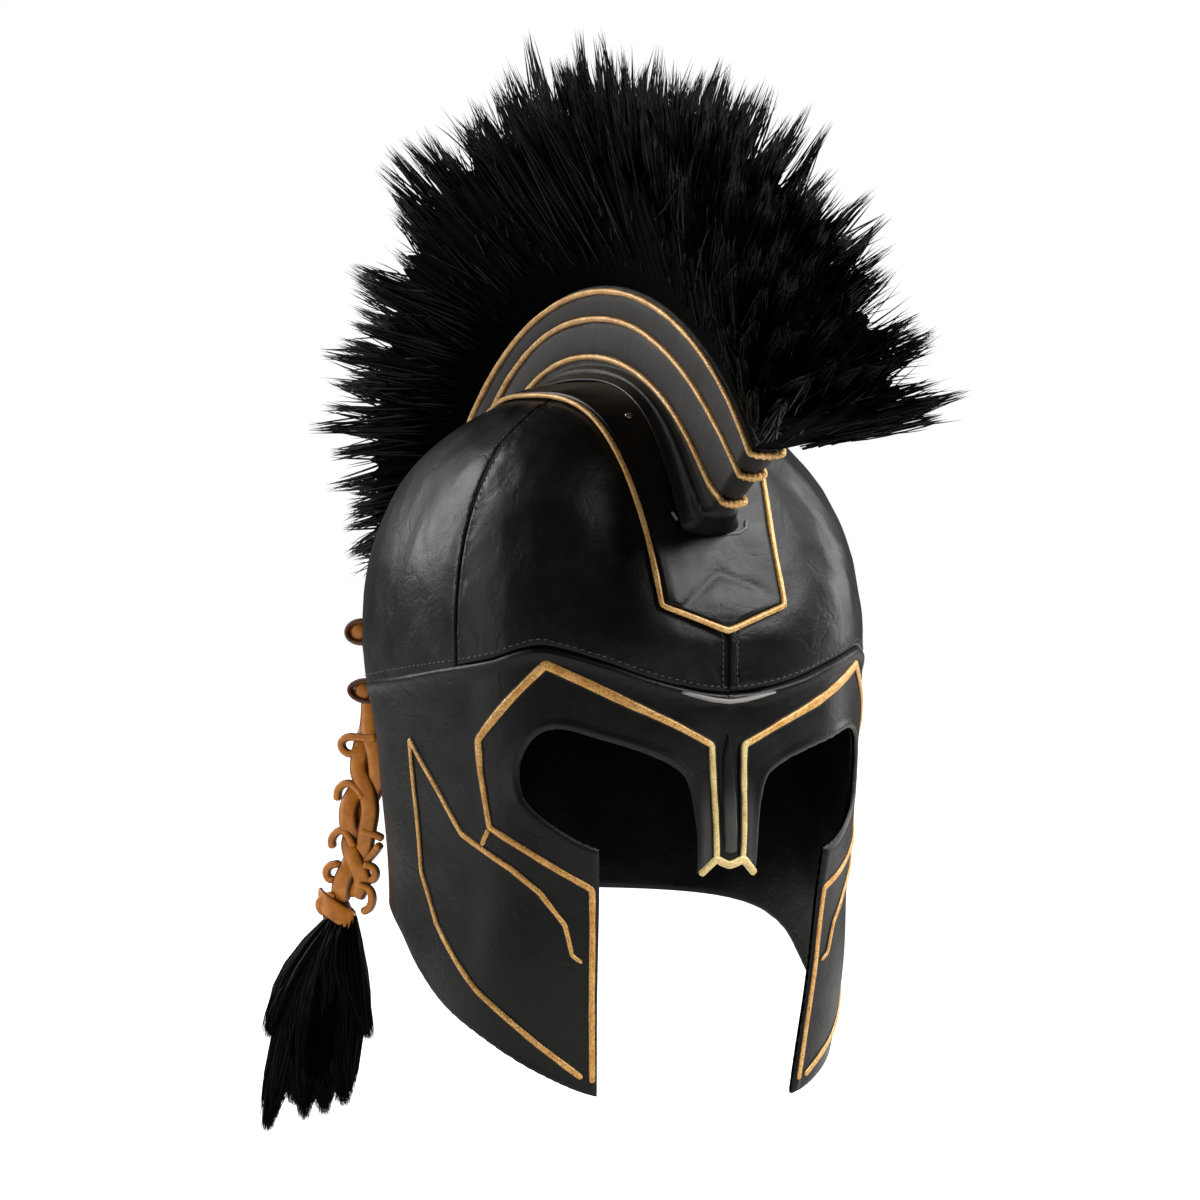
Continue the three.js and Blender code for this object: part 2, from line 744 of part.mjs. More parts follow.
// The plume: a backing strip on the comb and a fan of pointed locks fused to it.
function plume() {
  const along = 44;
  const across = 8;
  const firstAngle = plumeRows[0].angle;
  const lastAngle = plumeRows.at(-1).angle;
  const rootRadius = combRadius + combRimHeight + fit;
  const outer = [];
  const inner = [];
  for (let i = 0; i <= along; i += 1) {
    const pointing = THREE.MathUtils.lerp(firstAngle, lastAngle, i / along);
    const seat = THREE.MathUtils.mapLinear(pointing, firstAngle, lastAngle, -combFrontAngle, combRearAngle);
    const foot = combCentre.clone().addScaledVector(combDirection(seat), rootRadius);
    const length = plumeLength * tableValue(plumeRows, 'angle', pointing, 'length');
    const outerRow = [];
    const innerRow = [];
    for (let j = 0; j <= across; j += 1) {
      const share = 2 * j / across - 1;
      const isTip = i % 2 === 1 && j % 2 === 1;
      const ragged = 1 - plumeRaggedness * Math.abs(Math.sin(7.3 * i + 3.1 * j));
      const edge = 1 - plumeEdgeLoss * share * share;
      const reach = length * edge * ragged * (isTip ? 1 : 1 - plumeLockDepth);
      const splay = share * plumeSplay * radian;
      const direction = combDirection(pointing).multiplyScalar(Math.cos(splay)).setX(Math.sin(splay));
      const start = foot.clone().setX(share * plumeRootHalf);
      outerRow.push(start.clone().addScaledVector(direction, reach));
      innerRow.push(start);
    }
    outer.push(outerRow);
    inner.push(innerRow);
  }
  return wallBetween(outer, inner);
}

// Plan frame at the lacing: out is straight away from the leather, across runs round it.
const laceOut = new THREE.Vector3(Math.sin(laceAngle * radian), -Math.cos(laceAngle * radian), 0);
const laceAcross = new THREE.Vector3(-laceOut.y, laceOut.x, 0);

function lacePoint(height, out, across = 0) {
  return new THREE.Vector3(0, 0, height).addScaledVector(laceOut, out).addScaledVector(laceAcross, across);
}

function shellRadius(height) {
  const drop = (browLevel - height) / guardDepth;
  if (drop >= 0) return planRadius(laceAngle * radian, drop);
  const angle = laceAngle * radian;
  return planRadius(angle, 0) * crownSpread(angle, (height - browLevel) / crownHeight);
}

// A lace loop: it leaves the leather, bows out and comes back below.
function laceLoop(height) {
  const steps = 10;
  const path = Array.from({ length: steps + 1 }, (_, i) => {
    const turn = THREE.MathUtils.lerp(-0.5, 0.5, i / steps) * Math.PI * 1.12;
    const level = height - loopHalfSpan * Math.sin(turn);
    const seat = Math.max(shellRadius(level - laceRadius), shellRadius(level + laceRadius)) + fit;
    const out = seat + (loopReach - 2 * laceRadius) * Math.max(Math.cos(turn), 0);
    return { point: lacePoint(level, out), normal: laceAcross.clone() };
  });
  return strip(path, laceRadius, laceRadius * 0.8, 6);
}

// The braid: a flat bundle whose three strands swell to left and right in turn.
const lowerLoopHeight = browLevel - lowerLoopDrop;
const braidTop = lowerLoopHeight - loopHalfSpan - laceRadius - fit;

function braidCentre(share) {
  const height = braidTop - share * braidLength;
  const out = shellRadius(braidTop) + braidStandOff + braidLean * share;
  return lacePoint(height, out);
}

function braid() {
  const steps = 20;
  const sides = 10;
  const rings = Array.from({ length: steps + 1 }, (_, i) => {
    const share = i / steps;
    const centre = braidCentre(share);
    const taper = Math.min(1, 0.45 + 2.2 * share);
    const twist = share * 2 * Math.PI * braidCrossings;
    return Array.from({ length: sides }, (__, j) => {
      const turn = j / sides * 2 * Math.PI;
      const bulge = 1 + 0.16 * Math.cos(turn) * Math.sin(twist) + 0.1 * Math.cos(3 * turn + twist);
      return centre.clone()
        .addScaledVector(laceAcross, braidHalfWidth * taper * bulge * Math.cos(turn))
        .addScaledVector(laceOut, braidHalfDepth * taper * bulge * Math.sin(turn));
    });
  });
  return loft(rings);
}

// The leather wrap that binds the braid to the tassel.
function bindingBlock() {
  const sides = 8;
  const top = braidTop - braidLength - fit;
  const out = shellRadius(braidTop) + braidStandOff + braidLean;
  const rows = [
    { share: 0, scale: 0.86 },
    { share: 0.12, scale: 1 },
    { share: 0.88, scale: 1 },
    { share: 1, scale: 0.86 },
  ];
  const rings = rows.map(({ share, scale }) => {
    const centre = lacePoint(top - share * bindingHeight, out + share * bindingLean);
    return Array.from({ length: sides }, (_, j) => {
      const turn = (j + 0.5) / sides * 2 * Math.PI;
      return centre.clone()
        .addScaledVector(laceAcross, bindingHalfWidth * scale * Math.cos(turn))
        .addScaledVector(laceOut, bindingHalfDepth * scale * Math.sin(turn));
    });
  });
  return loft(rings);
}

// The tassel: a flared bundle with ridged sides that part into pointed locks at the lower end.
function tassel() {
  const sides = 16;
  const top = braidTop - braidLength - bindingHeight - 2 * fit;
  const out = shellRadius(braidTop) + braidStandOff + braidLean + bindingLean;
  const rows = [
    { drop: 0, spread: 0.3, ridge: 0.05, hang: 0 },
    { drop: 0.1, spread: 0.5, ridge: 0.05, hang: 0 },
    { drop: 0.3, spread: 0.84, ridge: tasselRidge, hang: 0 },
    { drop: 0.55, spread: 1, ridge: tasselRidge, hang: 0 },
    { drop: 0.78, spread: 0.82, ridge: tasselRidge, hang: 0 },
    { drop: 0.8, spread: 0.7, ridge: 2 * tasselRidge, hang: tasselLockHang },
  ];
  const rings = rows.map(({ drop, spread, ridge, hang }) => Array.from({ length: sides }, (_, j) => {
    const turn = j / sides * 2 * Math.PI;
    const isLock = j % 2 === 0;
    const reach = spread * (isLock ? 1 : 1 - ridge);
    const raggedHang = isLock ? hang * tasselLength * (1 - 0.35 * Math.abs(Math.sin(2.7 * j))) : 0;
    return lacePoint(top - drop * tasselLength - raggedHang, out + tasselLean * drop)
      .addScaledVector(laceAcross, tasselHalfWidth * reach * Math.cos(turn))
      .addScaledVector(laceOut, tasselHalfDepth * reach * Math.sin(turn));
  }));
  return loft(rings);
}

// Trim strips on the guard, from a table of angles and drops.
function guardTrim(rows, sign, halfWidth, halfHeight, sides = 4) {
  const lift = fit + halfHeight / Math.cos(Math.PI / sides) * (sides === 4 ? Math.SQRT1_2 : 1);
  const path = spaced(rows, 5).map(({ angle, drop }) => guardSeat(sign * angle, drop, lift));
  return strip(path, halfWidth, halfHeight, sides);
}

// Extra rows between the table's own, so that a strip follows the leather's curve.
function spaced(rows, longestAngle) {
  const list = [];
  rows.forEach((row, i) => {
    list.push(row);
    const next = rows[i + 1];
    if (!next) return;
    const parts = Math.ceil(Math.abs(next.angle - row.angle) / longestAngle);
    for (let k = 1; k < parts; k += 1) {
      list.push({
        angle: THREE.MathUtils.lerp(row.angle, next.angle, k / parts),
        drop: THREE.MathUtils.lerp(row.drop, next.drop, k / parts),
      });
    }
  });
  return list;
}

function bothHalves(rows) {
  return [...rows, ...rows.slice(0, -1).reverse().map(({ angle, drop }) => ({ angle: -angle, drop }))];
}

const blackLeather = { color: 0x1b1b1b, roughness: 0.42, metalness: 0 };
const combLeather = { color: 0x3f3c39, roughness: 0.7, metalness: 0 };
const goldCord = { color: 0xc49a55, roughness: 0.38, metalness: 0.6 };
const tanLeather = { color: 0xb5712a, roughness: 0.55, metalness: 0 };
const blackHair = { color: 0x0c0b0b, roughness: 0.6, metalness: 0 };

const group = new THREE.Group();

function addPiece(name, geometry, look) {
  const mesh = new THREE.Mesh(geometry, new THREE.MeshStandardMaterial(look));
  mesh.name = name;
  group.add(mesh);
}

const crown = toManifold(crownShell());
addPiece('crown_front', toGeometry(crown.intersect(frontWedge(fit))), blackLeather);
addPiece('crown_rear', toGeometry(crown.subtract(frontWedge(0))), blackLeather);
addPiece('face_guard', toGeometry(toManifold(guardShell()).subtract(faceCutter())), blackLeather);
addPiece('crown_plate', crownPlate(), blackLeather);
addPiece('plate_piping', platePiping(), goldCord);
addPiece('comb', comb(), combLeather);
addPiece('comb_cord_inner', combCord('inner'), goldCord);
addPiece('comb_cord_middle', combCord('middle'), goldCord);
addPiece('comb_cord_outer', combCord('outer'), goldCord);
addPiece('plume', plume(), blackHair);

[['right', -1], ['left', 1]].forEach(([side, sign]) => {
  const trim = (rows, halfWidth) => guardTrim(rows, sign, halfWidth, trimHalfHeight);
  addPiece(`brow_trim_${side}`, trim(browTrimRows, browTrimHalfWidth), goldCord);
  addPiece(`leaf_trim_${side}`, trim(leafTrimRows, trimHalfWidth), goldCord);
  addPiece(`trim_link_${side}`, trim(linkRows, trimHalfWidth), goldCord);
});
addPiece('nose_end_trim', guardTrim(bothHalves(noseEndRows), 1, trimHalfWidth, trimHalfHeight), goldCord);
addPiece('nose_rib', guardTrim(ribRows, 1, ribHalfWidth, ribHalfHeight, 6), blackLeather);
addPiece('brow_lip', guardTrim(bothHalves(lipRows), 1, lipHalfWidth, lipHalfHeight, 6), blackLeather);

addPiece('lace_loop_upper', laceLoop(browLevel + upperLoopRise), tanLeather);
addPiece('lace_loop_lower', laceLoop(lowerLoopHeight), tanLeather);
addPiece('braid', braid(), tanLeather);
addPiece('braid_binding', bindingBlock(), tanLeather);
addPiece('tassel', tassel(), blackHair);

export default group;
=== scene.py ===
import bpy
import bmesh
import numpy as np
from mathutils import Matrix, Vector


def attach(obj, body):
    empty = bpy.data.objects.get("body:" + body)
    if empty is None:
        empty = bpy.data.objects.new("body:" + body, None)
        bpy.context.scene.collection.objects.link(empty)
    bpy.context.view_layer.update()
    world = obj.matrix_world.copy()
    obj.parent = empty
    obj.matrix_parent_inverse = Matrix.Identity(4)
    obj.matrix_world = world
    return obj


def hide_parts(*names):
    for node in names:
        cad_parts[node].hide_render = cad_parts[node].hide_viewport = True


# Leather crested helmet, in metres. +Z is up and the nose guard faces -Y.
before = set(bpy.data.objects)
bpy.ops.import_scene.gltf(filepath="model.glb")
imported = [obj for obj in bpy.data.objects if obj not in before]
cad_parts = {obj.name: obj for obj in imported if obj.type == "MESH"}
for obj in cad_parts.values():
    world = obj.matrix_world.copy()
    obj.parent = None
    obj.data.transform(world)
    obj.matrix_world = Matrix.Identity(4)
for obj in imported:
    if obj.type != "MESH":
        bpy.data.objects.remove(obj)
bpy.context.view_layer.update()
mm = 0.001
seedOf = {"plume": 11, "tassel": 23, "leather": 5}
print("stage: frame loaded")


# camera, light and floor

studio = {
    "azimuth": -28,            # degrees round the helmet, seen from its right front
    "aim": (-4.6 * mm, -85.4 * mm),  # sideways and up, the middle of the picture
    "distance": 6.0,
    "fieldWidth": 0.5,         # metres across the picture at the helmet
    "floorLevel": -0.338,
    "worldStrength": 0.1,
}
turn = np.radians(studio["azimuth"])
toCamera = Vector((np.sin(turn), -np.cos(turn), 0))
rightward = Vector((np.cos(turn), np.sin(turn), 0))
aimPoint = rightward * studio["aim"][0] + Vector((0, 0, studio["aim"][1]))
cameraData = bpy.data.cameras.new("camera")
cameraData.sensor_width = 36
cameraData.lens = 36 * studio["distance"] / studio["fieldWidth"]
cameraData.clip_end = 100
camera = bpy.data.objects.new("camera", cameraData)
camera.location = aimPoint + toCamera * studio["distance"]
camera.rotation_mode = "QUATERNION"
camera.rotation_quaternion = (-toCamera).to_track_quat("-Z", "Y")
bpy.context.collection.objects.link(camera)
bpy.context.scene.camera = camera
bpy.context.scene.view_settings.view_transform = "Standard"


def addLight(name, side, up, near, width, height, watts):
    # an area light placed by its distance to the picture's right, up and towards the camera
    data = bpy.data.lights.new(name, "AREA")
    data.shape = "RECTANGLE"
    data.size, data.size_y, data.energy = width, height, watts
    light = bpy.data.objects.new(name, data)
    light.location = aimPoint + rightward * side + Vector((0, 0, up)) + toCamera * near
    light.rotation_mode = "QUATERNION"
    light.rotation_quaternion = (light.location - aimPoint).to_track_quat("Z", "Y")
    bpy.context.collection.objects.link(light)


addLight("keyAbove", 0.85, 1.45, 0.75, 0.7, 0.5, 20)
addLight("rightKey", 1.25, 1.2, 0.5, 0.7, 0.8, 24)
addLight("rightRim", 1.35, 0.55, -0.75, 0.4, 1.3, 16)
addLight("leftRim", -1.3, 0.8, -0.6, 0.6, 1.0, 20)
addLight("leftGlow", -1.5, 0.25, 0.35, 0.4, 1.0, 4)



def hexColour(text):
    # sRGB hex to linear
    c = np.array([int(text[i:i + 2], 16) for i in (1, 3, 5)]) / 255
    return (*np.where(c <= 0.04045, c / 12.92, ((c + 0.055) / 1.055) ** 2.4), 1.0)


def addNode(tree, kind, inputs=None, **settings):
    # one node: its settings, then each input as a constant or as another node's output
    node = tree.nodes.new(kind)
    for key, value in settings.items():
        setattr(node, key, value)
    for key, value in (inputs or {}).items():
        if isinstance(value, bpy.types.NodeSocket):
            tree.links.new(value, node.inputs[key])
        else:
            node.inputs[key].default_value = value
    return node


world = bpy.data.worlds.new("softStudio")
world.use_nodes = True
bpy.context.scene.world = world
skyTree = world.node_tree
skyTree.nodes.clear()
rayKind = addNode(skyTree, "ShaderNodeLightPath").outputs["Is Camera Ray"]
brightness = addNode(skyTree, "ShaderNodeMapRange",
                     {"Value": rayKind, "To Min": studio["worldStrength"], "To Max": 1.0})
skyShade = addNode(skyTree, "ShaderNodeBackground",
                   {"Color": (1, 1, 1, 1), "Strength": brightness.outputs[0]})
addNode(skyTree, "ShaderNodeOutputWorld", {"Surface": skyShade.outputs[0]})

floorMaterial = bpy.data.materials.new("paleFloor")
floorMaterial.use_nodes = True
floorTree = floorMaterial.node_tree
floorShader = floorTree.nodes["Principled BSDF"]
floorShader.inputs["Base Color"].default_value = hexColour("#f4f3f1")
floorShader.inputs["Roughness"].default_value = 0.9
floorShader.inputs["Emission Color"].default_value = (1, 1, 1, 1)
floorRay = addNode(floorTree, "ShaderNodeLightPath").outputs["Is Camera Ray"]
floorGlow = addNode(floorTree, "ShaderNodeMapRange", {"Value": floorRay, "To Min": 0.0, "To Max": 1.3})
floorTree.links.new(floorGlow.outputs[0], floorShader.inputs["Emission Strength"])
floorMesh = bpy.data.meshes.new("floor")
rim = np.linspace(0, 2 * np.pi, 96, endpoint=False)
floorMesh.from_pydata([(40 * np.cos(a), 40 * np.sin(a), studio["floorLevel"]) for a in rim], [], [range(96)])
floorMesh.materials.append(floorMaterial)
floor = bpy.data.objects.new("floor", floorMesh)
bpy.context.collection.objects.link(floor)
print("stage: camera, lights and floor")


# mesh tools

def gridFaces(rows, columns, wrapRows=False, wrapColumns=False, start=0):
    # quads of a grid of points that is counted row by row
    r = np.arange(rows if wrapRows else rows - 1)
    c = np.arange(columns if wrapColumns else columns - 1)
    i, j = np.meshgrid(r, c, indexing="ij")
    ni, nj = (i + 1) % rows, (j + 1) % columns
    corners = [i * columns + j, i * columns + nj, ni * columns + nj, ni * columns + j]
    return np.stack(corners, -1).reshape(-1, 4) + start


def addPiece(name, points, faces, material, replaced, tones=None, smooth=True):
    # welds the points, turns the faces outwards and hands the piece to the frame
    mesh = bpy.data.meshes.new(name)
    mesh.from_pydata(np.asarray(points).reshape(-1, 3).tolist(), [], np.asarray(faces).tolist())
    if tones is not None:
        mesh.attributes.new("tone", "FLOAT", "POINT").data.foreach_set("value", np.asarray(tones, np.float32))
    shape = bmesh.new()
    shape.from_mesh(mesh)
    bmesh.ops.remove_doubles(shape, verts=shape.verts, dist=2e-6)
    bmesh.ops.dissolve_degenerate(shape, edges=shape.edges, dist=1e-7)
    bmesh.ops.recalc_face_normals(shape, faces=shape.faces)
    shape.to_mesh(mesh)
    shape.free()
    mesh.polygons.foreach_set("use_smooth", [smooth] * len(mesh.polygons))
    mesh.materials.append(material)
    piece = bpy.data.objects.new(name, mesh)
    bpy.context.collection.objects.link(piece)
    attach(piece, "root")
    if replaced:
        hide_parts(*replaced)
    print("piece", name, len(mesh.polygons), "faces")
    return piece


def unit(vectors):
    return vectors / np.maximum(np.linalg.norm(vectors, axis=-1, keepdims=True), 1e-12)


def smoothTable(rows, at, column=1):
    # Catmull-Rom steps between the rows of a table whose first column is the key
    rows = np.asarray(rows, float)
    keys, values = rows[:, 0], rows[:, column]
    i = np.clip(np.searchsorted(keys, at, side="left") - 1, 0, len(rows) - 2)
    before, after = np.maximum(i - 1, 0), np.minimum(i + 2, len(rows) - 1)
    span = keys[i + 1] - keys[i]
    t = np.clip((at - keys[i]) / span, 0, 1)
    slopeIn = (values[i + 1] - values[before]) / (keys[i + 1] - keys[before]) * span
    slopeOut = (values[after] - values[i]) / (keys[after] - keys[i]) * span
    return ((2 * t**3 - 3 * t**2 + 1) * values[i] + (t**3 - 2 * t**2 + t) * slopeIn
            + (3 * t**2 - 2 * t**3) * values[i + 1] + (t**3 - t**2) * slopeOut)


def smoothStep(value, low, high):
    t = np.clip((value - low) / (high - low), 0, 1)
    return t * t * (3 - 2 * t)


def waves(points, size, seed, count=14):
    # a soft random field from -1 to 1: the mean of plane waves about one size long in random directions
    draw = np.random.default_rng(seed)
    directions = unit(draw.normal(size=(count, 3)))
    lengths = size * draw.uniform(0.7, 1.5, count)
    phases = draw.uniform(0, 2 * np.pi, count)
    turns = np.einsum("...k,nk->...n", points, directions) / lengths * 2 * np.pi + phases
    return np.sin(turns).sum(-1) / np.sqrt(count / 2) / 1.8


def evenly(path, spacing=None, count=None):
    # the same path with its points at even distances
    steps = np.r_[0, np.cumsum(np.linalg.norm(np.diff(path, axis=0), axis=1))]
    count = count or max(int(round(steps[-1] / spacing)) + 1, 2)
    at = np.linspace(0, steps[-1], count)
    return np.stack([np.interp(at, steps, path[:, k]) for k in range(path.shape[1])], -1)


def roundCorners(path, radius, spacing):
    # averages an evenly spaced path over a short length, its ends kept
    reach = max(int(round(radius / spacing)), 1)
    padded = np.concatenate([2 * path[:1] - path[reach:0:-1], path, 2 * path[-1:] - path[-2:-reach - 2:-1]])
    weights = np.hanning(2 * reach + 3)[1:-1]
    weights /= weights.sum()
    return np.stack([np.convolve(padded[:, k], weights, "valid") for k in range(path.shape[1])], -1)


def carryProfile(path, normals, profile, scale=None, closed=False):
    # a profile of (sideways, upwards) pairs carried along a path, upwards being the normal there
    if closed:
        tangents = unit(np.roll(path, -1, 0) - np.roll(path, 1, 0))
    else:
        tangents = unit(np.gradient(path, axis=0))
    side = unit(np.cross(normals, tangents))
    up = np.cross(tangents, side)
    scale = np.ones((len(path), 2)) if scale is None else scale
    across = profile[None, :, 0] * scale[:, :1]
    above = profile[None, :, 1] * scale[:, 1:]
    return path[:, None] + side[:, None] * across[..., None] + up[:, None] * above[..., None]


def ovalProfile(halfWidth, halfHeight, sides, power=2.0):
    # a superellipse, flatter on top as the power grows
    a = (np.arange(sides) + 0.5) / sides * 2 * np.pi
    c, s = np.cos(a), np.sin(a)
    return np.stack([halfWidth * np.sign(c) * np.abs(c) ** (2 / power),
                     halfHeight * np.sign(s) * np.abs(s) ** (2 / power)], -1)


def endTaper(count, length, radius):
    # 1 along a strip, falling to 0 over its last few millimetres as a quarter circle does
    at = np.linspace(0, length, count)
    end = np.clip(np.minimum(at, length - at) / radius, 0, 1)
    return np.sqrt(np.clip(1 - (1 - end) ** 2, 0, 1))


def lengthOf(path):
    return np.linalg.norm(np.diff(path, axis=0), axis=1).sum()


# materials

def startMaterial(name):
    material = bpy.data.materials.new(name)
    material.use_nodes = True
    tree = material.node_tree
    place = addNode(tree, "ShaderNodeTexCoord").outputs["Object"]
    return material, tree, tree.nodes["Principled BSDF"], place


def leatherMaterial(name, look):
    # patches set the colour and gloss, and the tone value paints highlight and reflection in pale grey on the
    # brow lip, the lower nose, round the openings and on the plate's slit edges; the relief is pores, a broken
    # network of wrinkles and slow swells
    material, tree, shader, place = startMaterial(name)
    patch = addNode(tree, "ShaderNodeTexNoise", {"Vector": place, "Scale": 1 / look["patchSize"],
                                                 "Detail": 6.0,
                                                 "Roughness": 0.62})
    drift = addNode(tree, "ShaderNodeTexNoise", {"Vector": place, "Scale": 1.6 / look["wrinkleSize"],
                                                 "Detail": 3.0})
    pushed = addNode(tree, "ShaderNodeVectorMath", {0: drift.outputs["Color"]}, operation="SCALE")
    pushed.inputs["Scale"].default_value = look["wrinkleSize"] * 1.1
    bent = addNode(tree, "ShaderNodeVectorMath", {0: place, 1: pushed.outputs[0]}, operation="ADD")
    net = addNode(tree, "ShaderNodeTexVoronoi", {"Vector": bent.outputs[0], "Scale": 1 / look["wrinkleSize"]},
                  feature="DISTANCE_TO_EDGE")
    line = addNode(tree, "ShaderNodeMapRange", {"Value": net.outputs["Distance"], "From Min": 0.0,
                                                "From Max": 0.09,
                                                "To Min": 1.0, "To Max": 0.0},
                                                interpolation_type="SMOOTHSTEP")
    some = addNode(tree, "ShaderNodeMapRange", {"Value": patch.outputs["Fac"], "From Min": 0.44,
                                                "From Max": 0.6},
                   interpolation_type="SMOOTHSTEP")
    wrinkle = addNode(tree, "ShaderNodeMath", {0: line.outputs[0], 1: some.outputs[0]}, operation="MULTIPLY")
    pores = addNode(tree, "ShaderNodeTexVoronoi", {"Vector": place, "Scale": 1 / look["poreSize"]})
    tone = addNode(tree, "ShaderNodeMapRange", {"Value": patch.outputs["Fac"], "From Min": 0.3,
                                                "From Max": 0.7})
    body = addNode(tree, "ShaderNodeMix", {0: tone.outputs[0], 6: hexColour(look["dark"]),
                                           7: hexColour(look["light"])}, data_type="RGBA")
    worn = addNode(tree, "ShaderNodeMath", {0: wrinkle.outputs[0], 1: look["wrinkleTone"]},
                   operation="MULTIPLY")
    grained = addNode(tree, "ShaderNodeMix", {0: worn.outputs[0], 6: body.outputs[2],
                                              7: hexColour(look["wrinkle"])}, data_type="RGBA")
    # painted highlight and reflection: the tone value mixes in this pale grey
    paintedSheen = addNode(tree, "ShaderNodeAttribute", attribute_name="tone").outputs["Fac"]
    colour = addNode(tree, "ShaderNodeMix", {0: paintedSheen, 6: grained.outputs[2], 7: hexColour("#a09d99")},
                     data_type="RGBA")
    gloss = addNode(tree, "ShaderNodeMapRange", {"Value": patch.outputs["Fac"], "From Min": 0.3,
                                                 "From Max": 0.7,
                                                 "To Min": look["roughness"][0],
                                                 "To Max": look["roughness"][1]})
    poreRelief = addNode(tree, "ShaderNodeBump", {"Height": pores.outputs["Distance"],
                                                  "Strength": look["poreDepth"],
                                                  "Distance": 0.25 * mm})
    wrinkleRelief = addNode(tree, "ShaderNodeBump",
                            {"Height": wrinkle.outputs[0], "Strength": look["wrinkleDepth"],
                             "Distance": 0.5 * mm, "Normal": poreRelief.outputs[0]},
                            invert=True)
    swell = addNode(tree, "ShaderNodeBump", {"Height": patch.outputs["Fac"], "Strength": look["swell"],
                                             "Distance": 2 * mm, "Normal": wrinkleRelief.outputs[0]})
    for socket, value in (("Base Color", colour.outputs[2]), ("Roughness", gloss.outputs[0]),
                          ("Normal", swell.outputs[0])):
        tree.links.new(value, shader.inputs[socket])
    shader.inputs["IOR"].default_value = 1.5
    shader.inputs["Specular IOR Level"].default_value = look["sheen"]
    return material


# black bridle leather, wet-moulded over a form and waxed: deep black with a soft broad sheen and faint
# wrinkles
waxedBlackLeather = leatherMaterial("waxedBlackLeather", {
    "dark": "#040404", "light": "#0b0b0b", "wrinkle": "#141414", "wrinkleTone": 0.4, "roughness": (0.3, 0.46),
    "patchSize": 30 * mm, "wrinkleSize": 17 * mm, "poreSize": 1.1 * mm, "poreDepth": 0.1,
    "wrinkleDepth": 0.15,
    "swell": 0.36, "sheen": 0.2})
# the same hide on the plate, burnished: glossier, drawn into soft folds
burnishedBlackLeather = leatherMaterial("burnishedBlackLeather", {
    "dark": "#040404", "light": "#0a0a0a", "wrinkle": "#121212", "wrinkleTone": 0.3,
    "roughness": (0.32, 0.44),
    "patchSize": 22 * mm, "wrinkleSize": 14 * mm, "poreSize": 1.1 * mm, "poreDepth": 0.08,
    "wrinkleDepth": 0.1,
    "swell": 0.2, "sheen": 0.22})
# flesh side of the hide, left unlined: dark, dull and slightly brown
fleshSideLeather = leatherMaterial("fleshSideLeather", {
    "dark": "#0a0807", "light": "#16120f", "wrinkle": "#1b1613", "wrinkleTone": 0.3, "roughness": (0.75, 0.9),
    "patchSize": 18 * mm, "wrinkleSize": 8 * mm, "poreSize": 0.7 * mm, "poreDepth": 0.4, "wrinkleDepth": 0.1,
    "swell": 0.1, "sheen": 0.2})
# suede-buffed comb leather: matte warm dark grey, no clear reflections
buffedGreyLeather = leatherMaterial("buffedGreyLeather", {
    "dark": "#1e1b19", "light": "#2d2926", "wrinkle": "#34302c", "wrinkleTone": 0.25,
    "roughness": (0.6, 0.75),
    "patchSize": 16 * mm, "wrinkleSize": 12 * mm, "poreSize": 0.9 * mm, "poreDepth": 0.2,
    "wrinkleDepth": 0.08,
    "swell": 0.08, "sheen": 0.35})
# cut edge of black hide, left raw: near black, dull and fibrous; also laid as dark strips under the gold
# lines, as painted shadow of the grooves beside them
rawEdgeAndShadowLeather = leatherMaterial("rawEdgeAndShadowLeather", {
    "dark": "#060504", "light": "#16110d", "wrinkle": "#1d1611", "wrinkleTone": 0.4, "roughness": (0.6, 0.8),
    "patchSize": 6 * mm, "wrinkleSize": 4 * mm, "poreSize": 0.7 * mm, "poreDepth": 0.4, "wrinkleDepth": 0.3,
    "swell": 0.1, "sheen": 0.3})


def laceMaterial(name, look):
    # oiled lace: the tone value of each point runs from the pale face of the lace to its dark cut edges
    material, tree, shader, place = startMaterial(name)
    tone = addNode(tree, "ShaderNodeAttribute", attribute_name="tone").outputs["Fac"]
    grain = addNode(tree, "ShaderNodeTexNoise", {"Vector": place, "Scale": 1 / (5 * mm), "Detail": 6.0,
                                                 "Roughness": 0.65})
    shade = addNode(tree, "ShaderNodeMapRange", {"Value": grain.outputs["Fac"], "From Min": 0.3,
                                                 "From Max": 0.7})
    face = addNode(tree, "ShaderNodeMix", {0: shade.outputs[0], 6: hexColour(look["deep"]),
                                           7: hexColour(look["face"])}, data_type="RGBA")
    colour = addNode(tree, "ShaderNodeMix", {0: tone, 6: face.outputs[2], 7: hexColour(look["edge"])},
                     data_type="RGBA")
    relief = addNode(tree, "ShaderNodeBump", {"Height": grain.outputs["Fac"], "Strength": 0.25,
                                              "Distance": 0.5 * mm})
    tree.links.new(colour.outputs[2], shader.inputs["Base Color"])
    tree.links.new(relief.outputs[0], shader.inputs["Normal"])
    shader.inputs["Roughness"].default_value = look["roughness"]
    shader.inputs["IOR"].default_value = 1.5
    return material


# vegetable-tanned lace, oiled: warm orange tan with a soft gloss and dark brown edges
oiledTanLace = laceMaterial("oiledTanLace", {"face": "#dd8c2a", "deep": "#b46513", "edge": "#2c1206",
                                             "roughness": 0.42})
# the same lace darkened by handling and wax
darkTanLace = laceMaterial("darkTanLace", {"face": "#7a4014", "deep": "#522a0a", "edge": "#1d0d05",
                                           "roughness": 0.5})
# linen thread drawn through black wax: dark, a little lighter than the hide
waxedThread = laceMaterial("waxedThread", {"face": "#4c4945", "deep": "#2b2927", "edge": "#0a0a0a",
                                           "roughness": 0.5})


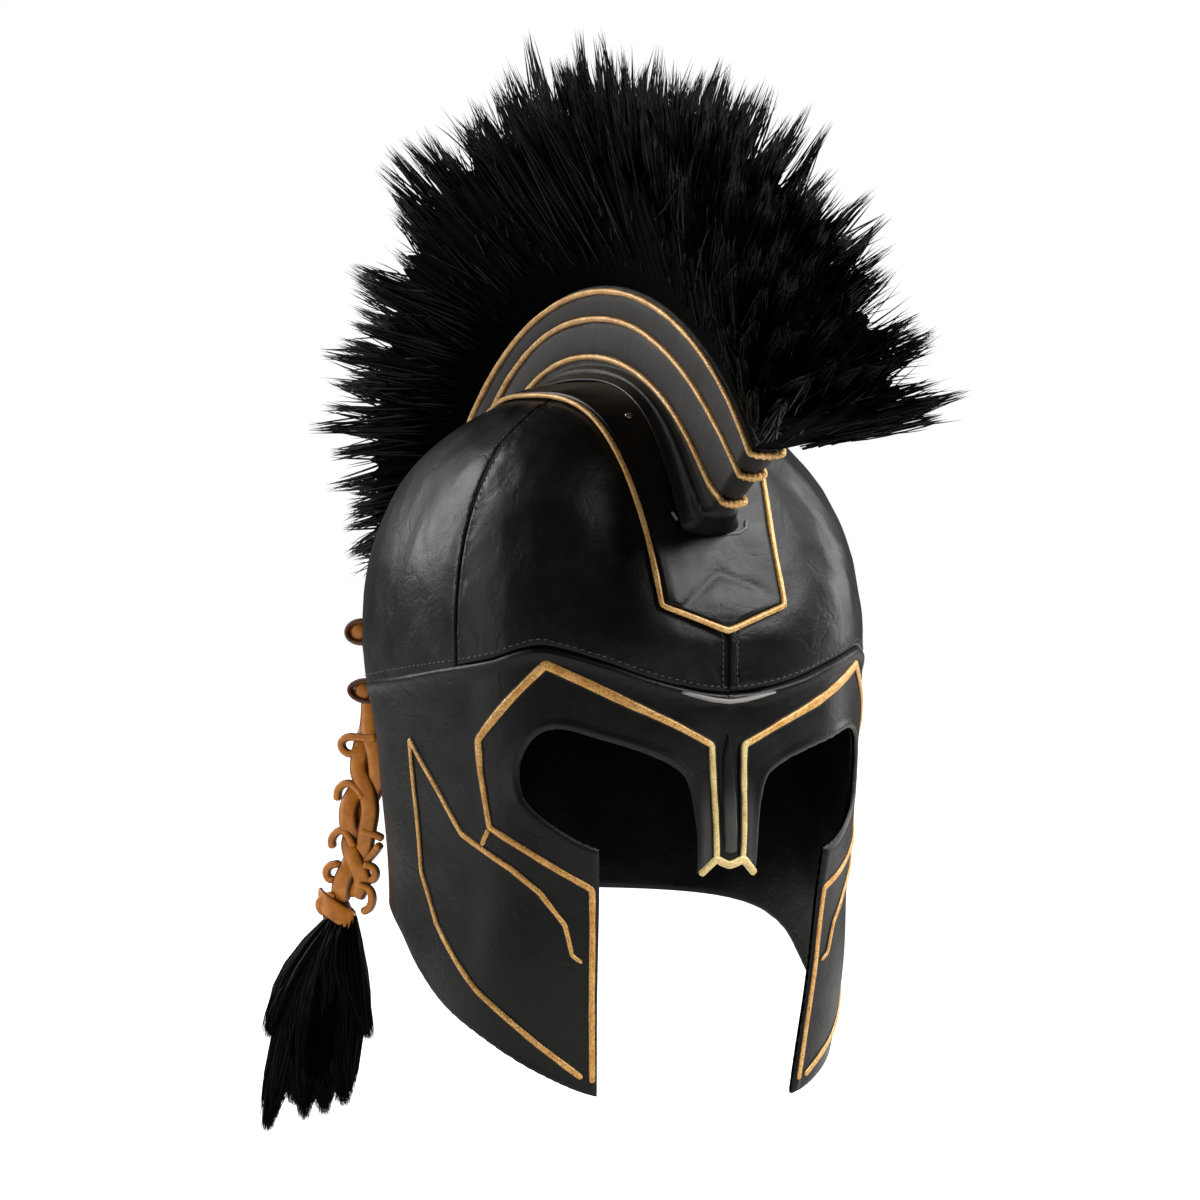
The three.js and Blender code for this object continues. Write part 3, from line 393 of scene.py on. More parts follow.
def goldThreadMaterial(name, look):
    # woven gold cord: metal foil spun on a yellow core, so the gold is broken up by small dark gaps
    material, tree, shader, place = startMaterial(name)
    shade = addNode(tree, "ShaderNodeTexNoise", {"Vector": place, "Scale": 1 / (9 * mm), "Detail": 6.0,
                                                 "Roughness": 0.65})
    weave = addNode(tree, "ShaderNodeTexVoronoi", {"Vector": place, "Scale": 1 / look["threadSize"],
                                                   "Randomness": 0.8})
    tone = addNode(tree, "ShaderNodeMapRange", {"Value": shade.outputs["Fac"], "From Min": 0.32,
                                                "From Max": 0.68})
    gold = addNode(tree, "ShaderNodeMix", {0: tone.outputs[0], 6: hexColour(look["dark"]),
                                           7: hexColour(look["light"])}, data_type="RGBA")
    gap = addNode(tree, "ShaderNodeMapRange", {"Value": weave.outputs["Distance"], "From Min": 0.45,
                                               "From Max": 0.8,
                                               "To Max": look["gaps"]})
    colour = addNode(tree, "ShaderNodeMix", {0: gap.outputs[0], 6: gold.outputs[2], 7: hexColour("#5a3a16")},
                     data_type="RGBA")
    relief = addNode(tree, "ShaderNodeBump", {"Height": weave.outputs["Distance"], "Strength": 0.45,
                                              "Distance": 0.25 * mm}, invert=True)
    tree.links.new(colour.outputs[2], shader.inputs["Base Color"])
    tree.links.new(relief.outputs[0], shader.inputs["Normal"])
    shader.inputs["Roughness"].default_value = 0.42
    shader.inputs["Metallic"].default_value = look["metallic"]
    return material


# one gold cord in three states: warm on the brow and cheeks, rubbed pale on the nose, brassy round the comb
goldThreadBrow = goldThreadMaterial("goldThreadBrow",
                                    {"dark": "#bd8335", "light": "#e3b368", "threadSize": 0.9 * mm,
                                     "gaps": 0.6, "metallic": 0.2})
goldThreadPale = goldThreadMaterial("goldThreadPale",
                                    {"dark": "#c4a867", "light": "#e8d292", "threadSize": 0.9 * mm,
                                     "gaps": 0.35, "metallic": 0.15})
goldThreadPiping = goldThreadMaterial("goldThreadPiping", {"dark": "#b9853f", "light": "#e2b877",
                                                           "threadSize": 1.0 * mm, "gaps": 0.5,
                                                           "metallic": 0.25})


def hairMaterial(name, dark, light, roughness=0.5, sheen=0.09):
    # dyed horsehair: black, each hair glossy, with a few browner hairs that catch the light
    material, tree, shader, place = startMaterial(name)
    tone = addNode(tree, "ShaderNodeAttribute", attribute_name="tone").outputs["Fac"]
    dust = addNode(tree, "ShaderNodeTexNoise", {"Vector": place, "Scale": 1 / (14 * mm), "Detail": 3.0})
    lift = addNode(tree, "ShaderNodeMath", {0: tone, 1: dust.outputs["Fac"]}, operation="MULTIPLY")
    colour = addNode(tree, "ShaderNodeMix", {0: lift.outputs[0], 6: hexColour(dark), 7: hexColour(light)},
                     data_type="RGBA")
    tree.links.new(colour.outputs[2], shader.inputs["Base Color"])
    shader.inputs["Roughness"].default_value = roughness
    shader.inputs["IOR"].default_value = 1.55
    shader.inputs["Specular IOR Level"].default_value = sheen
    return material


dyedHorsehair = hairMaterial("dyedHorsehair", "#010101", "#0e0c0b")
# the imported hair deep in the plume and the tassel, which sees almost no light
shadedHorsehair = hairMaterial("shadedHorsehair", "#010101", "#010101", 0.95, 0.02)


def wornSteelMaterial(name, look):
    # rivet steel, blackened and rubbed bright on top: fine scratches turn its gloss and its colour
    material, tree, shader, place = startMaterial(name)
    rub = addNode(tree, "ShaderNodeTexNoise", {"Vector": place, "Scale": 1 / look["scratchSize"],
                                               "Detail": 5.0})
    colour = addNode(tree, "ShaderNodeMix", {0: rub.outputs["Fac"], 6: hexColour(look["dark"]),
                                             7: hexColour(look["bright"])}, data_type="RGBA")
    gloss = addNode(tree, "ShaderNodeMapRange", {"Value": rub.outputs["Fac"], "To Min": 0.45, "To Max": 0.25})
    tree.links.new(colour.outputs[2], shader.inputs["Base Color"])
    tree.links.new(gloss.outputs[0], shader.inputs["Roughness"])
    shader.inputs["Metallic"].default_value = 1.0
    return material


blackenedSteel = wornSteelMaterial("blackenedSteel",
                                   {"dark": "#4c4a48", "bright": "#b9b6b2", "scratchSize": 0.8 * mm})
print("stage: materials")


# the shape of the shell, from the same sizes as the solids

shell = {
    "wall": 3 * mm, "halfWidth": 98 * mm, "front": 102 * mm, "rear": 115 * mm, "height": 106 * mm,
    "guardDepth": 187 * mm, "noseForward": 6.5 * mm, "noseHalfAngle": 14, "sideSeam": 67,
    "sideFullness": 2.3, "foreheadSlope": 1.0, "fit": 0.3 * mm,
}
browLevel = shell["wall"] - shell["height"]
# drop as a share of the guard's depth, then width, front and rear as shares
sectionRows = [(0, 1, 1, 1), (0.085, 0.995, 1, 0.94), (0.225, 0.975, 1, 0.82), (0.444, 0.952, 0.967, 0.75),
               (0.55, 0.942, 0.933, 0.73), (0.733, 0.938, 0.876, 0.73), (1, 0.87, 0.79, 0.72),
               (1.2, 0.84, 0.75, 0.7)]
# angle from the nose in degrees, then drop
seamRows = [(0, 0.112), (8, 0.104), (19, 0.079), (30, 0.042), (42, 0.01), (48, 0.014), (56, 0.036),
            (67, 0.051),
            (85, 0.066), (113, 0.084), (180, 0.096)]
rimRows = [(0, 1.02), (31.8, 0.998), (47, 0.949), (65, 0.864), (78, 0.797), (89, 0.719), (99, 0.641),
           (113, 0.588),
           (135, 0.562), (180, 0.552)]
eyeRows = [(7.7, 0.508), (8.3, 0.396), (10.2, 0.307), (14, 0.27), (21.6, 0.238), (30.4, 0.212), (39.4, 0.189),
           (45.3, 0.207), (49, 0.262), (49, 0.325), (45.7, 0.369), (37.3, 0.425), (30.7, 0.4535)]
cheekRows = [(30.7, 0.4535), (30.8, 0.574), (31.5, 0.797), (31.8, 0.998)]


def planRadius(angle, drop):
    # a superellipse in plan, squarer at the brow than at the nape
    across, along = np.abs(np.sin(angle)), np.abs(np.cos(angle))
    power = 2.05 + 0.55 * (1 + np.cos(angle)) / 2
    halfWidth = shell["halfWidth"] * smoothTable(sectionRows, drop, 1)
    front = shell["front"] * smoothTable(sectionRows, drop, 2)
    rear = shell["rear"] * smoothTable(sectionRows, drop, 3)
    halfLength = np.where(np.cos(angle) > 0, front, rear)
    return ((across / halfWidth) ** power + (along / halfLength) ** power) ** (-1 / power)


def fullness(angle, share):
    frontness = np.clip(np.cos(angle), 0, None) ** 4
    return shell["sideFullness"] - shell["foreheadSlope"] * frontness * (1 - share**2)


def shellPoint(angle, level):
    # the leather's outer face: level 0 to 1 climbs the crown, level 0 to -1 goes down the guard
    rise, drop = np.clip(level, 0, 1), np.clip(-level, 0, None)
    share = np.sin(rise * np.pi / 2) ** (2 / shell["sideFullness"])
    power = fullness(angle, share)
    spread = np.clip(1 - share**power, 0, None) ** (1 / power)
    nearNose = np.exp(-(np.degrees(angle) / shell["noseHalfAngle"]) ** 2) * smoothStep(drop, 0.2, 0.5)
    radius = planRadius(angle, drop) * spread + shell["noseForward"] * nearNose
    z = browLevel + shell["height"] * share - shell["guardDepth"] * drop
    return np.stack([radius * np.sin(angle), -radius * np.cos(angle), z], -1)


def shellNormal(angle, level):
    # square to the face, from small steps of both values
    level = np.clip(level, None, 0.9985)
    du = shellPoint(angle + 1e-3, level) - shellPoint(angle - 1e-3, level)
    dv = shellPoint(angle, level + 1e-3) - shellPoint(angle, level - 1e-3)
    return unit(np.cross(du, dv))


def seamDrop(angle):
    return smoothTable(seamRows, np.abs(np.degrees(angle)))


wear = {
    "swellDepth": 0.35 * mm, "swellSize": 46 * mm,     # slow unevenness of hand-moulded hide
    "crumpleDepth": 0.3 * mm, "crumpleSize": 21 * mm,  # soft crumples of the crown, narrow ridges between
    "puckerDepth": 0.32 * mm, "puckerReach": 9 * mm,   # gathers beside the stitched seams
    "lipFlare": 0.9 * mm, "lipReach": 4 * mm,          # the guard's top edge stands proud of the crown
}


def leatherRelief(angle, level):
    # how far the finished face stands off the plain one
    point = shellPoint(angle, level)
    degrees = np.abs(np.degrees(angle))
    below = (-level - seamDrop(angle)) * shell["guardDepth"]
    radius = np.hypot(point[..., 0], point[..., 1])
    toSideSeam = np.abs(degrees - shell["sideSeam"]) * np.pi / 180 * radius
    crownPart = level > -seamDrop(angle)
    swell = wear["swellDepth"] * waves(point, wear["swellSize"], seedOf["leather"])
    crumple = np.abs(waves(point, wear["crumpleSize"], seedOf["leather"] + 2))
    swell = swell + wear["crumpleDepth"] * (0.5 - crumple) * crownPart
    ripple = waves(point * np.array([1, 1, 1.6]), 6.5 * mm, seedOf["leather"] + 1)
    nearSide = np.exp(-(toSideSeam / wear["puckerReach"]) ** 2) * crownPart
    nearSeam = np.exp(-(below / wear["puckerReach"]) ** 2) * np.where(crownPart, 1.0, 0.35)
    pucker = wear["puckerDepth"] * ripple * np.maximum(nearSide, 0.6 * nearSeam)
    # gathers that fan out from the foot of the front seam
    x, z = point[..., 0], point[..., 2]
    footZ = browLevel - seamDrop(0) * shell["guardDepth"]
    reach = np.hypot(x, z - footZ)
    fan = np.sin(np.arctan2(z - footZ, np.abs(x) + 1e-6) * 9 + x * 260)
    front = (point[..., 1] < 0) & crownPart
    gathers = 0.45 * mm * fan * np.exp(-(reach / (22 * mm)) ** 2) * smoothStep(np.abs(x), 0.5 * mm,
                                                                               5 * mm) * front
    farBrow = 1 + 1.1 * np.exp(-((degrees - 42) / 14) ** 2)
    flare = wear["lipFlare"] * farBrow * np.exp(-(np.clip(below, 0, None)
                                                  / wear["lipReach"]) ** 2) * ~crownPart
    return swell + pucker + gathers + flare


def wallFromGrid(angle, level, edge, rounding, extra=0.0):
    # outer and inner face of a leather wall: half its thickness shrinks as a quarter circle does near an edge
    point, normal = shellPoint(angle, level), shellNormal(angle, level)
    half = shell["wall"] / 2
    round_ = np.sqrt(np.clip(1 - (1 - np.clip(edge / rounding, 0, 1)) ** 2, 0, 1)) * half
    relief = leatherRelief(angle, level) + extra
    middle = point - normal * half
    outer = middle + normal * (round_ + relief * smoothStep(edge, 0, 3 * mm))[..., None]
    inner = middle - normal * round_[..., None]
    return outer, inner


def setInside(piece):
    # faces that look towards the middle of the helmet get the flesh side of the hide
    mesh = piece.data
    centre, facing = np.empty(len(mesh.polygons) * 3), np.empty(len(mesh.polygons) * 3)
    mesh.polygons.foreach_get("center", centre)
    mesh.polygons.foreach_get("normal", facing)
    outward = centre.reshape(-1, 3) - np.array([0, 0, browLevel])
    outward[:, 2] = np.maximum(outward[:, 2], 0)
    inside = (outward * facing.reshape(-1, 3)).sum(-1) < -0.2 * np.linalg.norm(outward, axis=1)
    mesh.materials.append(fleshSideLeather)
    mesh.polygons.foreach_set("material_index", inside.astype(np.int32))


def addWall(name, outer, inner, material, replaced, wrap=False):
    # both faces of a wall share their edge points, which are welded
    rows, columns = outer.shape[:2]
    count = rows * columns
    faces = np.concatenate([gridFaces(rows, columns, wrapRows=wrap),
                            gridFaces(rows, columns, wrapRows=wrap, start=count)[:, ::-1]])
    points = np.concatenate([outer.reshape(-1, 3), inner.reshape(-1, 3)])
    return addPiece(name, points, faces, material, replaced)


# crown panels

crown = {"frontColumns": 130, "rearColumns": 190, "rows": 76, "rounding": 1.2 * mm,
         "frontSeamDepth": 1.3 * mm}


def edgeRows(total, low, high, near):
    # positions from low to high, a few of them close to the low end
    close = low + (high - low) * np.array([0, 0.1, 0.35, 0.7, 1.0]) * near
    return np.r_[close, np.linspace(low + (high - low) * near * 1.6, high, total - 5)]


def crownPanel(name, fromDegrees, toDegrees, columns, replaced):
    middle, half = (fromDegrees + toDegrees) / 2, (toDegrees - fromDegrees) / 2
    share = np.linspace(-1, 1, columns)
    packed = np.sign(share) * (1 - (1 - np.abs(share)) ** 1.35)      # closer columns beside the seams
    beside = np.degrees(np.arange(-7, 7.01, 0.3) * mm / shell["front"]) if middle == 0 else []
    angle = np.radians(np.union1d(middle + half * packed, beside))[:, None]   # fine columns at the front seam
    t = edgeRows(crown["rows"], 0, 1, 0.022)[None]
    foot = -seamDrop(angle) + shell["fit"] / 2 / shell["guardDepth"]
    level = foot + (1 - foot) * t
    angle = angle + 0 * t
    point = shellPoint(angle, level)
    radius = np.hypot(point[..., 0], point[..., 1])
    sideways = (half - np.abs(np.degrees(angle) - middle)) * np.pi / 180 * np.maximum(radius, 34 * mm)
    upward = (level - foot) * shell["guardDepth"] * np.where(level < 0, 1.0, 0.9)
    edge = np.minimum(np.maximum(sideways, 0), upward)
    x = point[..., 0]
    inFront = (point[..., 1] < 0) & (point[..., 2] < -62 * mm)
    groove = -crown["frontSeamDepth"] * np.exp(-((x - 0.3 * mm) / (0.85 * mm)) ** 2)
    band = 0.55 * mm * smoothStep(x, 0.6 * mm, 1.8 * mm) * (1 - smoothStep(x, 3.4 * mm, 5.2 * mm))
    pinch = -0.3 * mm * (np.exp(-((x + 2.2 * mm) / (0.7 * mm)) ** 2)
                         + np.exp(-((x - 4.6 * mm) / (0.7 * mm)) ** 2))
    tucks = 1 + 0.8 * np.sin(point[..., 2] / (2.6 * mm) * 2 * np.pi)
    band = band + pinch * tucks
    outer, inner = wallFromGrid(angle, level, edge, crown["rounding"], (groove + band) * inFront)
    setInside(addWall(name, outer, inner, waxedBlackLeather, replaced))


gapDegrees = 0.1
crownPanel("crownFront", -shell["sideSeam"] + gapDegrees, shell["sideSeam"] - gapDegrees,
           crown["frontColumns"],
           ["crown_front"])
crownPanel("crownRear", shell["sideSeam"] + gapDegrees, 360 - shell["sideSeam"] - gapDegrees,
           crown["rearColumns"],
           ["crown_rear"])
print("stage: crown")


# face guard: a band of rows between the face opening and the seam, nape and rim

guard = {"columns": 380, "rows": 42, "rounding": 1.5 * mm, "seamRounding": 1.1 * mm}
# each pair is a place on the opening (angle, drop) and the place across from it on the outer border
bandPairs = [
    ((7.7, 0.508), (0, 0.494)), ((8.3, 0.396), (0, 0.39)), ((10.2, 0.307), (0, 0.28)),
    ((14, 0.27), (0, 0.112)),
    ((21.6, 0.238), (14, -1)), ((30.4, 0.212), (28, -1)), ((39.4, 0.189), (42, -1)),
    ((45.3, 0.207), (58, -1)),
    ((49, 0.262), (95, -1)), ((49.4, 0.293), (180, 0.096)), ((49, 0.325), (180, 0.552)),
    ((45.7, 0.369), (113, -2)),
    ((37.3, 0.425), (89, -2)), ((30.7, 0.4535), (70, -2)), ((30.8, 0.574), (58, -2)),
    ((31.5, 0.797), (46, -2)),
    ((31.8, 0.998), (38, -2)),
]


def flatLength(path):
    # distance along a path of (angle, drop) measured on the leather
    point = shellPoint(np.radians(path[:, 0]), -path[:, 1])
    return np.r_[0, np.cumsum(np.linalg.norm(np.diff(point, axis=0), axis=1))]


def borderPoint(place):
    # -1 stands for the seam and -2 for the rim at that angle
    angle, drop = place
    if drop == -1:
        return angle, float(smoothTable(seamRows, np.array(angle)))
    if drop == -2:
        return angle, float(smoothTable(rimRows, np.array(angle)))
    return angle, drop


def borderPath(first, second, count):
    # the border between two places: along the seam, the rim or straight
    angle = np.linspace(borderPoint(first)[0], borderPoint(second)[0], count)
    kinds = {first[1], second[1]}
    straight = np.linspace(borderPoint(first)[1], borderPoint(second)[1], count)
    if -1 in kinds and (first[1] == -1 or first == (0, 0.112)) and (second[1] == -1 or second == (180, 0.096)):
        return np.stack([angle, smoothTable(seamRows, angle)], -1)
    if -2 in kinds:
        return np.stack([angle, smoothTable(rimRows, angle)], -1)
    return np.stack([angle, straight], -1)


def guardBand():
    eyeTable = [(i, *row) for i, row in enumerate(eyeRows)]
    eyeAt = np.linspace(0, len(eyeRows) - 1, 600)
    eye = np.stack([smoothTable(eyeTable, eyeAt, 1), smoothTable(eyeTable, eyeAt, 2)], -1)
    cheek = evenly(np.array(cheekRows), count=200)
    opening = np.concatenate([eye, cheek[1:]])
    innerPlaces = np.array([pair[0] for pair in bandPairs])
    scaled = opening * np.array([1 / 50, 1.0])
    knots = [int(np.argmin(np.linalg.norm(scaled - place * np.array([1 / 50, 1.0]),
                                          axis=1))) for place in innerPlaces]
    knots[0], knots[-1] = 0, len(opening) - 1
    pieces = []
    lengths = []
    for i in range(len(bandPairs) - 1):
        near = opening[knots[i]:knots[i + 1] + 1]
        far = borderPath(bandPairs[i][1], bandPairs[i + 1][1], 200)
        pieces.append((near, far))
        lengths.append(max(flatLength(near)[-1], flatLength(far)[-1]))
    counts = np.maximum(np.round(np.array(lengths) / sum(lengths) * guard["columns"]), 5).astype(int)
    nearPath, farPath = [], []
    for (near, far), count in zip(pieces, counts):
        nearPath.append(evenly(near * [1 / 50, 1], count=count + 1)[:-1] * [50, 1])
        farPath.append(evenly(far * [1 / 50, 1], count=count + 1)[:-1] * [50, 1])
    nearPath = np.concatenate(nearPath + [pieces[-1][0][-1:]])
    farPath = np.concatenate(farPath + [pieces[-1][1][-1:]])
    return nearPath, farPath


def guardGrid(nearPath, farPath):
    # straight lines from border to border, bent at both ends to follow the nose end and the rim
    rows = guard["rows"]
    spans = np.linalg.norm(shellPoint(np.radians(farPath[:, 0]), -farPath[:, 1])
                           - shellPoint(np.radians(nearPath[:, 0]), -nearPath[:, 1]), axis=1)
    close = np.array([0, 0.12, 0.45, 0.95, 1.6, 2.6]) * mm
    ends = np.minimum(close[None] / spans[:, None], np.linspace(0, 0.35, len(close))[None])
    inside = np.linspace(0, 1, rows - 2 * len(close) + 2)[None, 1:-1]
    t = np.concatenate([ends, ends[:, -1:] + (1 - 2 * ends[:, -1:]) * inside, 1 - ends[:, ::-1]],
                       1)[..., None]
    grid = (1 - t) * nearPath[:, None] + t * farPath[:, None]
    noseEnd = evenly(np.array([(7.7, 0.508), (3.6, 0.482), (0, 0.494)]) * [1 / 50, 1], count=60) * [50, 1]
    at = np.linspace(0, 1, 60)
    bendNose = np.stack([np.interp(t[0, :, 0], at, noseEnd[:, k]) for k in (0, 1)], -1) - grid[0]
    rimAngle = grid[-1, :, 0]
    bendRim = np.stack([0 * rimAngle, smoothTable(rimRows, rimAngle) - grid[-1, :, 1]], -1)
    fadeNose = np.clip(1 - np.arange(len(grid)) / 24, 0, 1)[:, None, None]
    fadeRim = np.clip(1 - np.arange(len(grid))[::-1] / 24, 0, 1)[:, None, None]
    return grid + fadeNose * bendNose[None] + fadeRim * bendRim[None]


def distanceTo(points, border):
    # nearest distance of each point to a path of points, in blocks that fit in memory
    flat = points.reshape(-1, 3)
    nearest = [np.sqrt(((flat[i:i + 1500, None]
                         - border[None]) ** 2).sum(-1).min(1)) for i in range(0, len(flat), 1500)]
    return np.concatenate(nearest).reshape(points.shape[:-1])


nearPath, farPath = guardBand()
band = guardGrid(nearPath, farPath)
bandAngle, bandLevel = np.radians(band[..., 0]), -band[..., 1]
bandPoint = shellPoint(bandAngle, bandLevel)
onAxis = (np.abs(farPath[:, 0]) < 1e-6) | (np.abs(farPath[:, 0] - 180) < 1e-6)
borderRuns = [evenly(bandPoint[:, 0], spacing=0.6 * mm), evenly(bandPoint[0], spacing=0.6 * mm),
              evenly(bandPoint[-1], spacing=0.6 * mm)]
farPoint = bandPoint[:, -1]
seamSide = np.flatnonzero(~onAxis & (farPath[:, 1] < 0.3))
rimSide = np.flatnonzero(~onAxis & (farPath[:, 1] > 0.5))
seamRun = evenly(farPoint[np.r_[seamSide[0] - 1, seamSide, seamSide[-1] + 1]], spacing=0.6 * mm)
rimRun = evenly(farPoint[np.r_[rimSide[0] - 1, rimSide]], spacing=0.6 * mm)
toSeam = distanceTo(bandPoint, seamRun)
toRest = distanceTo(bandPoint, np.concatenate(borderRuns + [rimRun]))
guardEdge = np.minimum(toSeam * guard["rounding"] / guard["seamRounding"], toRest)
openingRun = borderRuns[0]
toOpening = distanceTo(bandPoint, openingRun)
noseShare = np.exp(-(np.degrees(bandAngle) / 9) ** 4) * smoothStep(-bandLevel, 0.18, 0.26)
noseFlutes = -0.7 * mm * np.exp(-((np.degrees(bandAngle) - 2.9) / 0.55) ** 2) * noseShare
openingRoll = 0.7 * mm * np.exp(-((toOpening - 1.6 * mm) / (1.5 * mm)) ** 2)
guardSides = []
for sign in (1, -1):
    guardSides += wallFromGrid(sign * bandAngle, bandLevel, guardEdge, guard["rounding"],
                               noseFlutes + openingRoll)
# painted reflection: a pale grey tone down the lower nose beside its gold lines, and a faint painted highlight
# round the openings
noseSheenBand = np.exp(-((np.degrees(bandAngle) - 5.6) / 1.5) ** 2) * smoothStep(-bandLevel, 0.28, 0.4)
guardPaintedSheen = np.tile((0.11 * noseSheenBand + 0.012 * np.exp(-((toOpening - 1.6 * mm) / (1.2 * mm)) ** 2)).ravel(), 4)
rows, columns = band.shape[:2]
count = rows * columns
quads = gridFaces(rows, columns)
guardFaces = np.concatenate([quads, quads[:, ::-1] + count, quads[:, ::-1] + 2 * count, quads + 3 * count])
guardPiece = addPiece("faceGuard", np.concatenate([side.reshape(-1, 3) for side in guardSides]), guardFaces,
                      waxedBlackLeather, ["face_guard"], guardPaintedSheen)
setInside(guardPiece)
print("stage: face guard")


# gold lines on the guard

browLine = [(3.4, 0.474), (3.9, 0.34), (4.2, 0.224), (13.5, 0.179), (23.8, 0.134), (33, 0.09), (42.5, 0.047),
            (51.5, 0.128), (60.3, 0.213), (60, 0.28), (57.6, 0.405), (49, 0.45), (39.5, 0.503), (32.4, 0.541),
            (32.5, 0.65), (32.9, 0.8), (33.1, 0.968)]
leafLine = [(35.6, 0.957), (46.6, 0.886), (63.5, 0.765), (78.7, 0.619), (85.8, 0.507), (87.3, 0.336),
            (88.2, 0.214),
            (76.8, 0.32), (67.1, 0.42), (60.4, 0.452), (52, 0.497), (45, 0.548), (39, 0.619), (37.4, 0.686),
            (34.9, 0.703)]
trims = {
    "height": 1.0 * mm, "sides": 12, "spacing": 0.6 * mm, "corner": 1.1 * mm, "shadowStripExtra": 0.75 * mm,
    # half widths by the share of the line's length
    "browWidth": [(0, 1.35), (0.2, 1.4), (0.26, 1.9), (0.46, 1.9), (0.52, 1.75), (0.58, 1.3), (0.7, 1.35),
                  (1, 1.3)],
    "leafWidth": [(0, 1.3), (0.3, 1.2), (0.5, 1.15), (0.7, 1.2), (0.86, 1.25), (1, 0.8)],
}


def onLeather(line, sign, lift):
    # a line of (angle, drop) corners as an even path on the finished leather, with its normals
    dense = np.concatenate([np.linspace(line[i], line[i + 1], 30,
                                        endpoint=False) for i in range(len(line) - 1)]
                           + [np.array(line[-1:])])
    angle, level = np.radians(sign * dense[:, 0]), -dense[:, 1]
    steps = flatLength(dense)
    at = np.linspace(0, steps[-1], max(int(steps[-1] / trims["spacing"]), 8))
    angle, level = np.interp(at, steps, angle), np.interp(at, steps, level)
    both = roundCorners(np.stack([angle, level], -1), trims["corner"], trims["spacing"])
    angle, level = both[:, 0], both[:, 1]
    normal = shellNormal(angle, level)
    return shellPoint(angle, level) + normal * (leatherRelief(angle, level) + lift)[:, None], normal


def trimGrid(line, sign, halfWidths, height, seed, extra=0.0):
    path, normal = onLeather(line, sign, 0.0)
    at = np.linspace(0, 1, len(path))
    width = np.interp(at, *np.array(halfWidths).T) * mm
    width = width * (1 + 0.07 * waves(path, 12 * mm, seed)) + extra
    taper = endTaper(len(path), lengthOf(path), 1.6 * mm)
    profile = ovalProfile(1, 1, trims["sides"], 2.6)
    return carryProfile(path, normal, profile, np.stack([width * taper, height * taper], -1))


def addStrip(name, grid, material, replaced, tones=None):
    rows, sides = grid.shape[:2]
    faces = gridFaces(rows, sides, wrapColumns=True)
    return addPiece(name, grid, faces, material, replaced, tones)


for side, sign in (("Right", -1), ("Left", 1)):
    lower = side.lower()
    for name, line, widths, material in (("brow", browLine, trims["browWidth"], goldThreadBrow),
                                         ("leaf", leafLine, trims["leafWidth"], goldThreadBrow)):
        grid = trimGrid(line, sign, widths, trims["height"], 31)
        strip = addStrip(name + "Trim" + side, grid, material, [name + "_trim_" + lower])
        strip.data.materials.append(goldThreadPale)
        middles = np.empty(len(strip.data.polygons) * 3)
        strip.data.polygons.foreach_get("center", middles)
        nearNose = (np.abs(middles[0::3]) < 9 * mm) & (middles[1::3] < 0)
        strip.data.polygons.foreach_set("material_index", nearNose.astype(np.int32))
        # a dark matte strip under each gold line, a little wider than it: painted shadow of the groove along
        # the line
        shadowStrip = trimGrid(line, sign, widths, 0.35 * mm, 31, trims["shadowStripExtra"])
        addStrip(name + "TrimShadowStrip" + side, shadowStrip, rawEdgeAndShadowLeather, [])
    link = trimGrid([(57.9, 0.409), (60.3, 0.446)], sign, [(0, 1.1), (1, 1.1)], trims["height"], 33)
    addStrip("trimLink" + side, link, goldThreadBrow, ["trim_link_" + lower])
noseLine = [(7.5, 0.508), (3.6, 0.474), (1.6, 0.483), (0, 0.488), (-1.6, 0.483), (-3.4, 0.474), (-7.2, 0.51)]
addStrip("noseEndTrim", trimGrid(noseLine, 1, [(0, 1.6), (1, 1.6)], 1.3 * mm, 35), goldThreadPale,
         ["nose_end_trim"])
noseRib = trimGrid([(0, 0.2), (0, 0.33), (0, 0.462)], 1, [(0, 0.5), (0.2, 2.6), (0.5, 3.1), (1, 3.0)],
                   1.2 * mm, 37)
# painted reflection: the rib's lower part is toned pale grey
ribPaintedSheen = 0.13 * smoothStep(np.linspace(0, 1, noseRib.shape[0]), 0.35, 0.75)[:, None] + 0 * noseRib[..., 0]
addStrip("noseRib", noseRib, waxedBlackLeather, ["nose_rib"], ribPaintedSheen.ravel())
lipLine = [(12, 0.108), (8, 0.117), (4, 0.125), (0, 0.129), (-4, 0.125), (-8, 0.117), (-12, 0.108)]
browLip = trimGrid(lipLine, 1, [(0, 0.5), (0.2, 0.9), (0.5, 1.05), (0.8, 0.9), (1, 0.5)], 3.0 * mm, 39)
# tone 0.8 paints a pale grey highlight along the whole lip
addStrip("browLip", browLip, burnishedBlackLeather, ["brow_lip"],
         np.full(browLip.shape[:2], 0.8).ravel())
print("stage: gold lines")


# plate over the crown and its piping

plate = {"halfWidth": 34 * mm, "thickness": 1.8 * mm, "clearance": 0.7 * mm, "piping": 1.5 * mm,
         "columns": 46, "rows": 190}
plateRows = [(-86.6, 0.02), (-80.8, 0.79), (-60, 0.82), (-30, 0.96), (0, 1.06), (12, 1), (30, 0.82),
             (50, 0.72),
             (72, 0.66), (79, 0.02)]


def crownField(point):
    # above 1 outside the crown, below 1 inside
    angle = np.arctan2(point[..., 0], -point[..., 1])
    height = np.clip(point[..., 2] - browLevel, 0, None) / shell["height"]
    power = fullness(angle, np.clip(height, 0, 1))
    radius = np.hypot(point[..., 0], point[..., 1])
    return (radius / planRadius(angle, 0 * angle)) ** power + height**power


def crownReach(start, direction):
    # distance at which a ray leaves the crown, by halving
    low, high = np.zeros(start.shape[:-1]), np.full(start.shape[:-1], 0.23)
    for _ in range(34):
        middle = (low + high) / 2
        isInside = crownField(start + direction * middle[..., None]) < 1
        low, high = np.where(isInside, middle, low), np.where(isInside, high, middle)
    return low


def fieldNormal(point):
    step = 5e-5
    slopes = [crownField(point + step * axis) - crownField(point - step * axis) for axis in np.eye(3)]
    return unit(np.stack(slopes, -1))


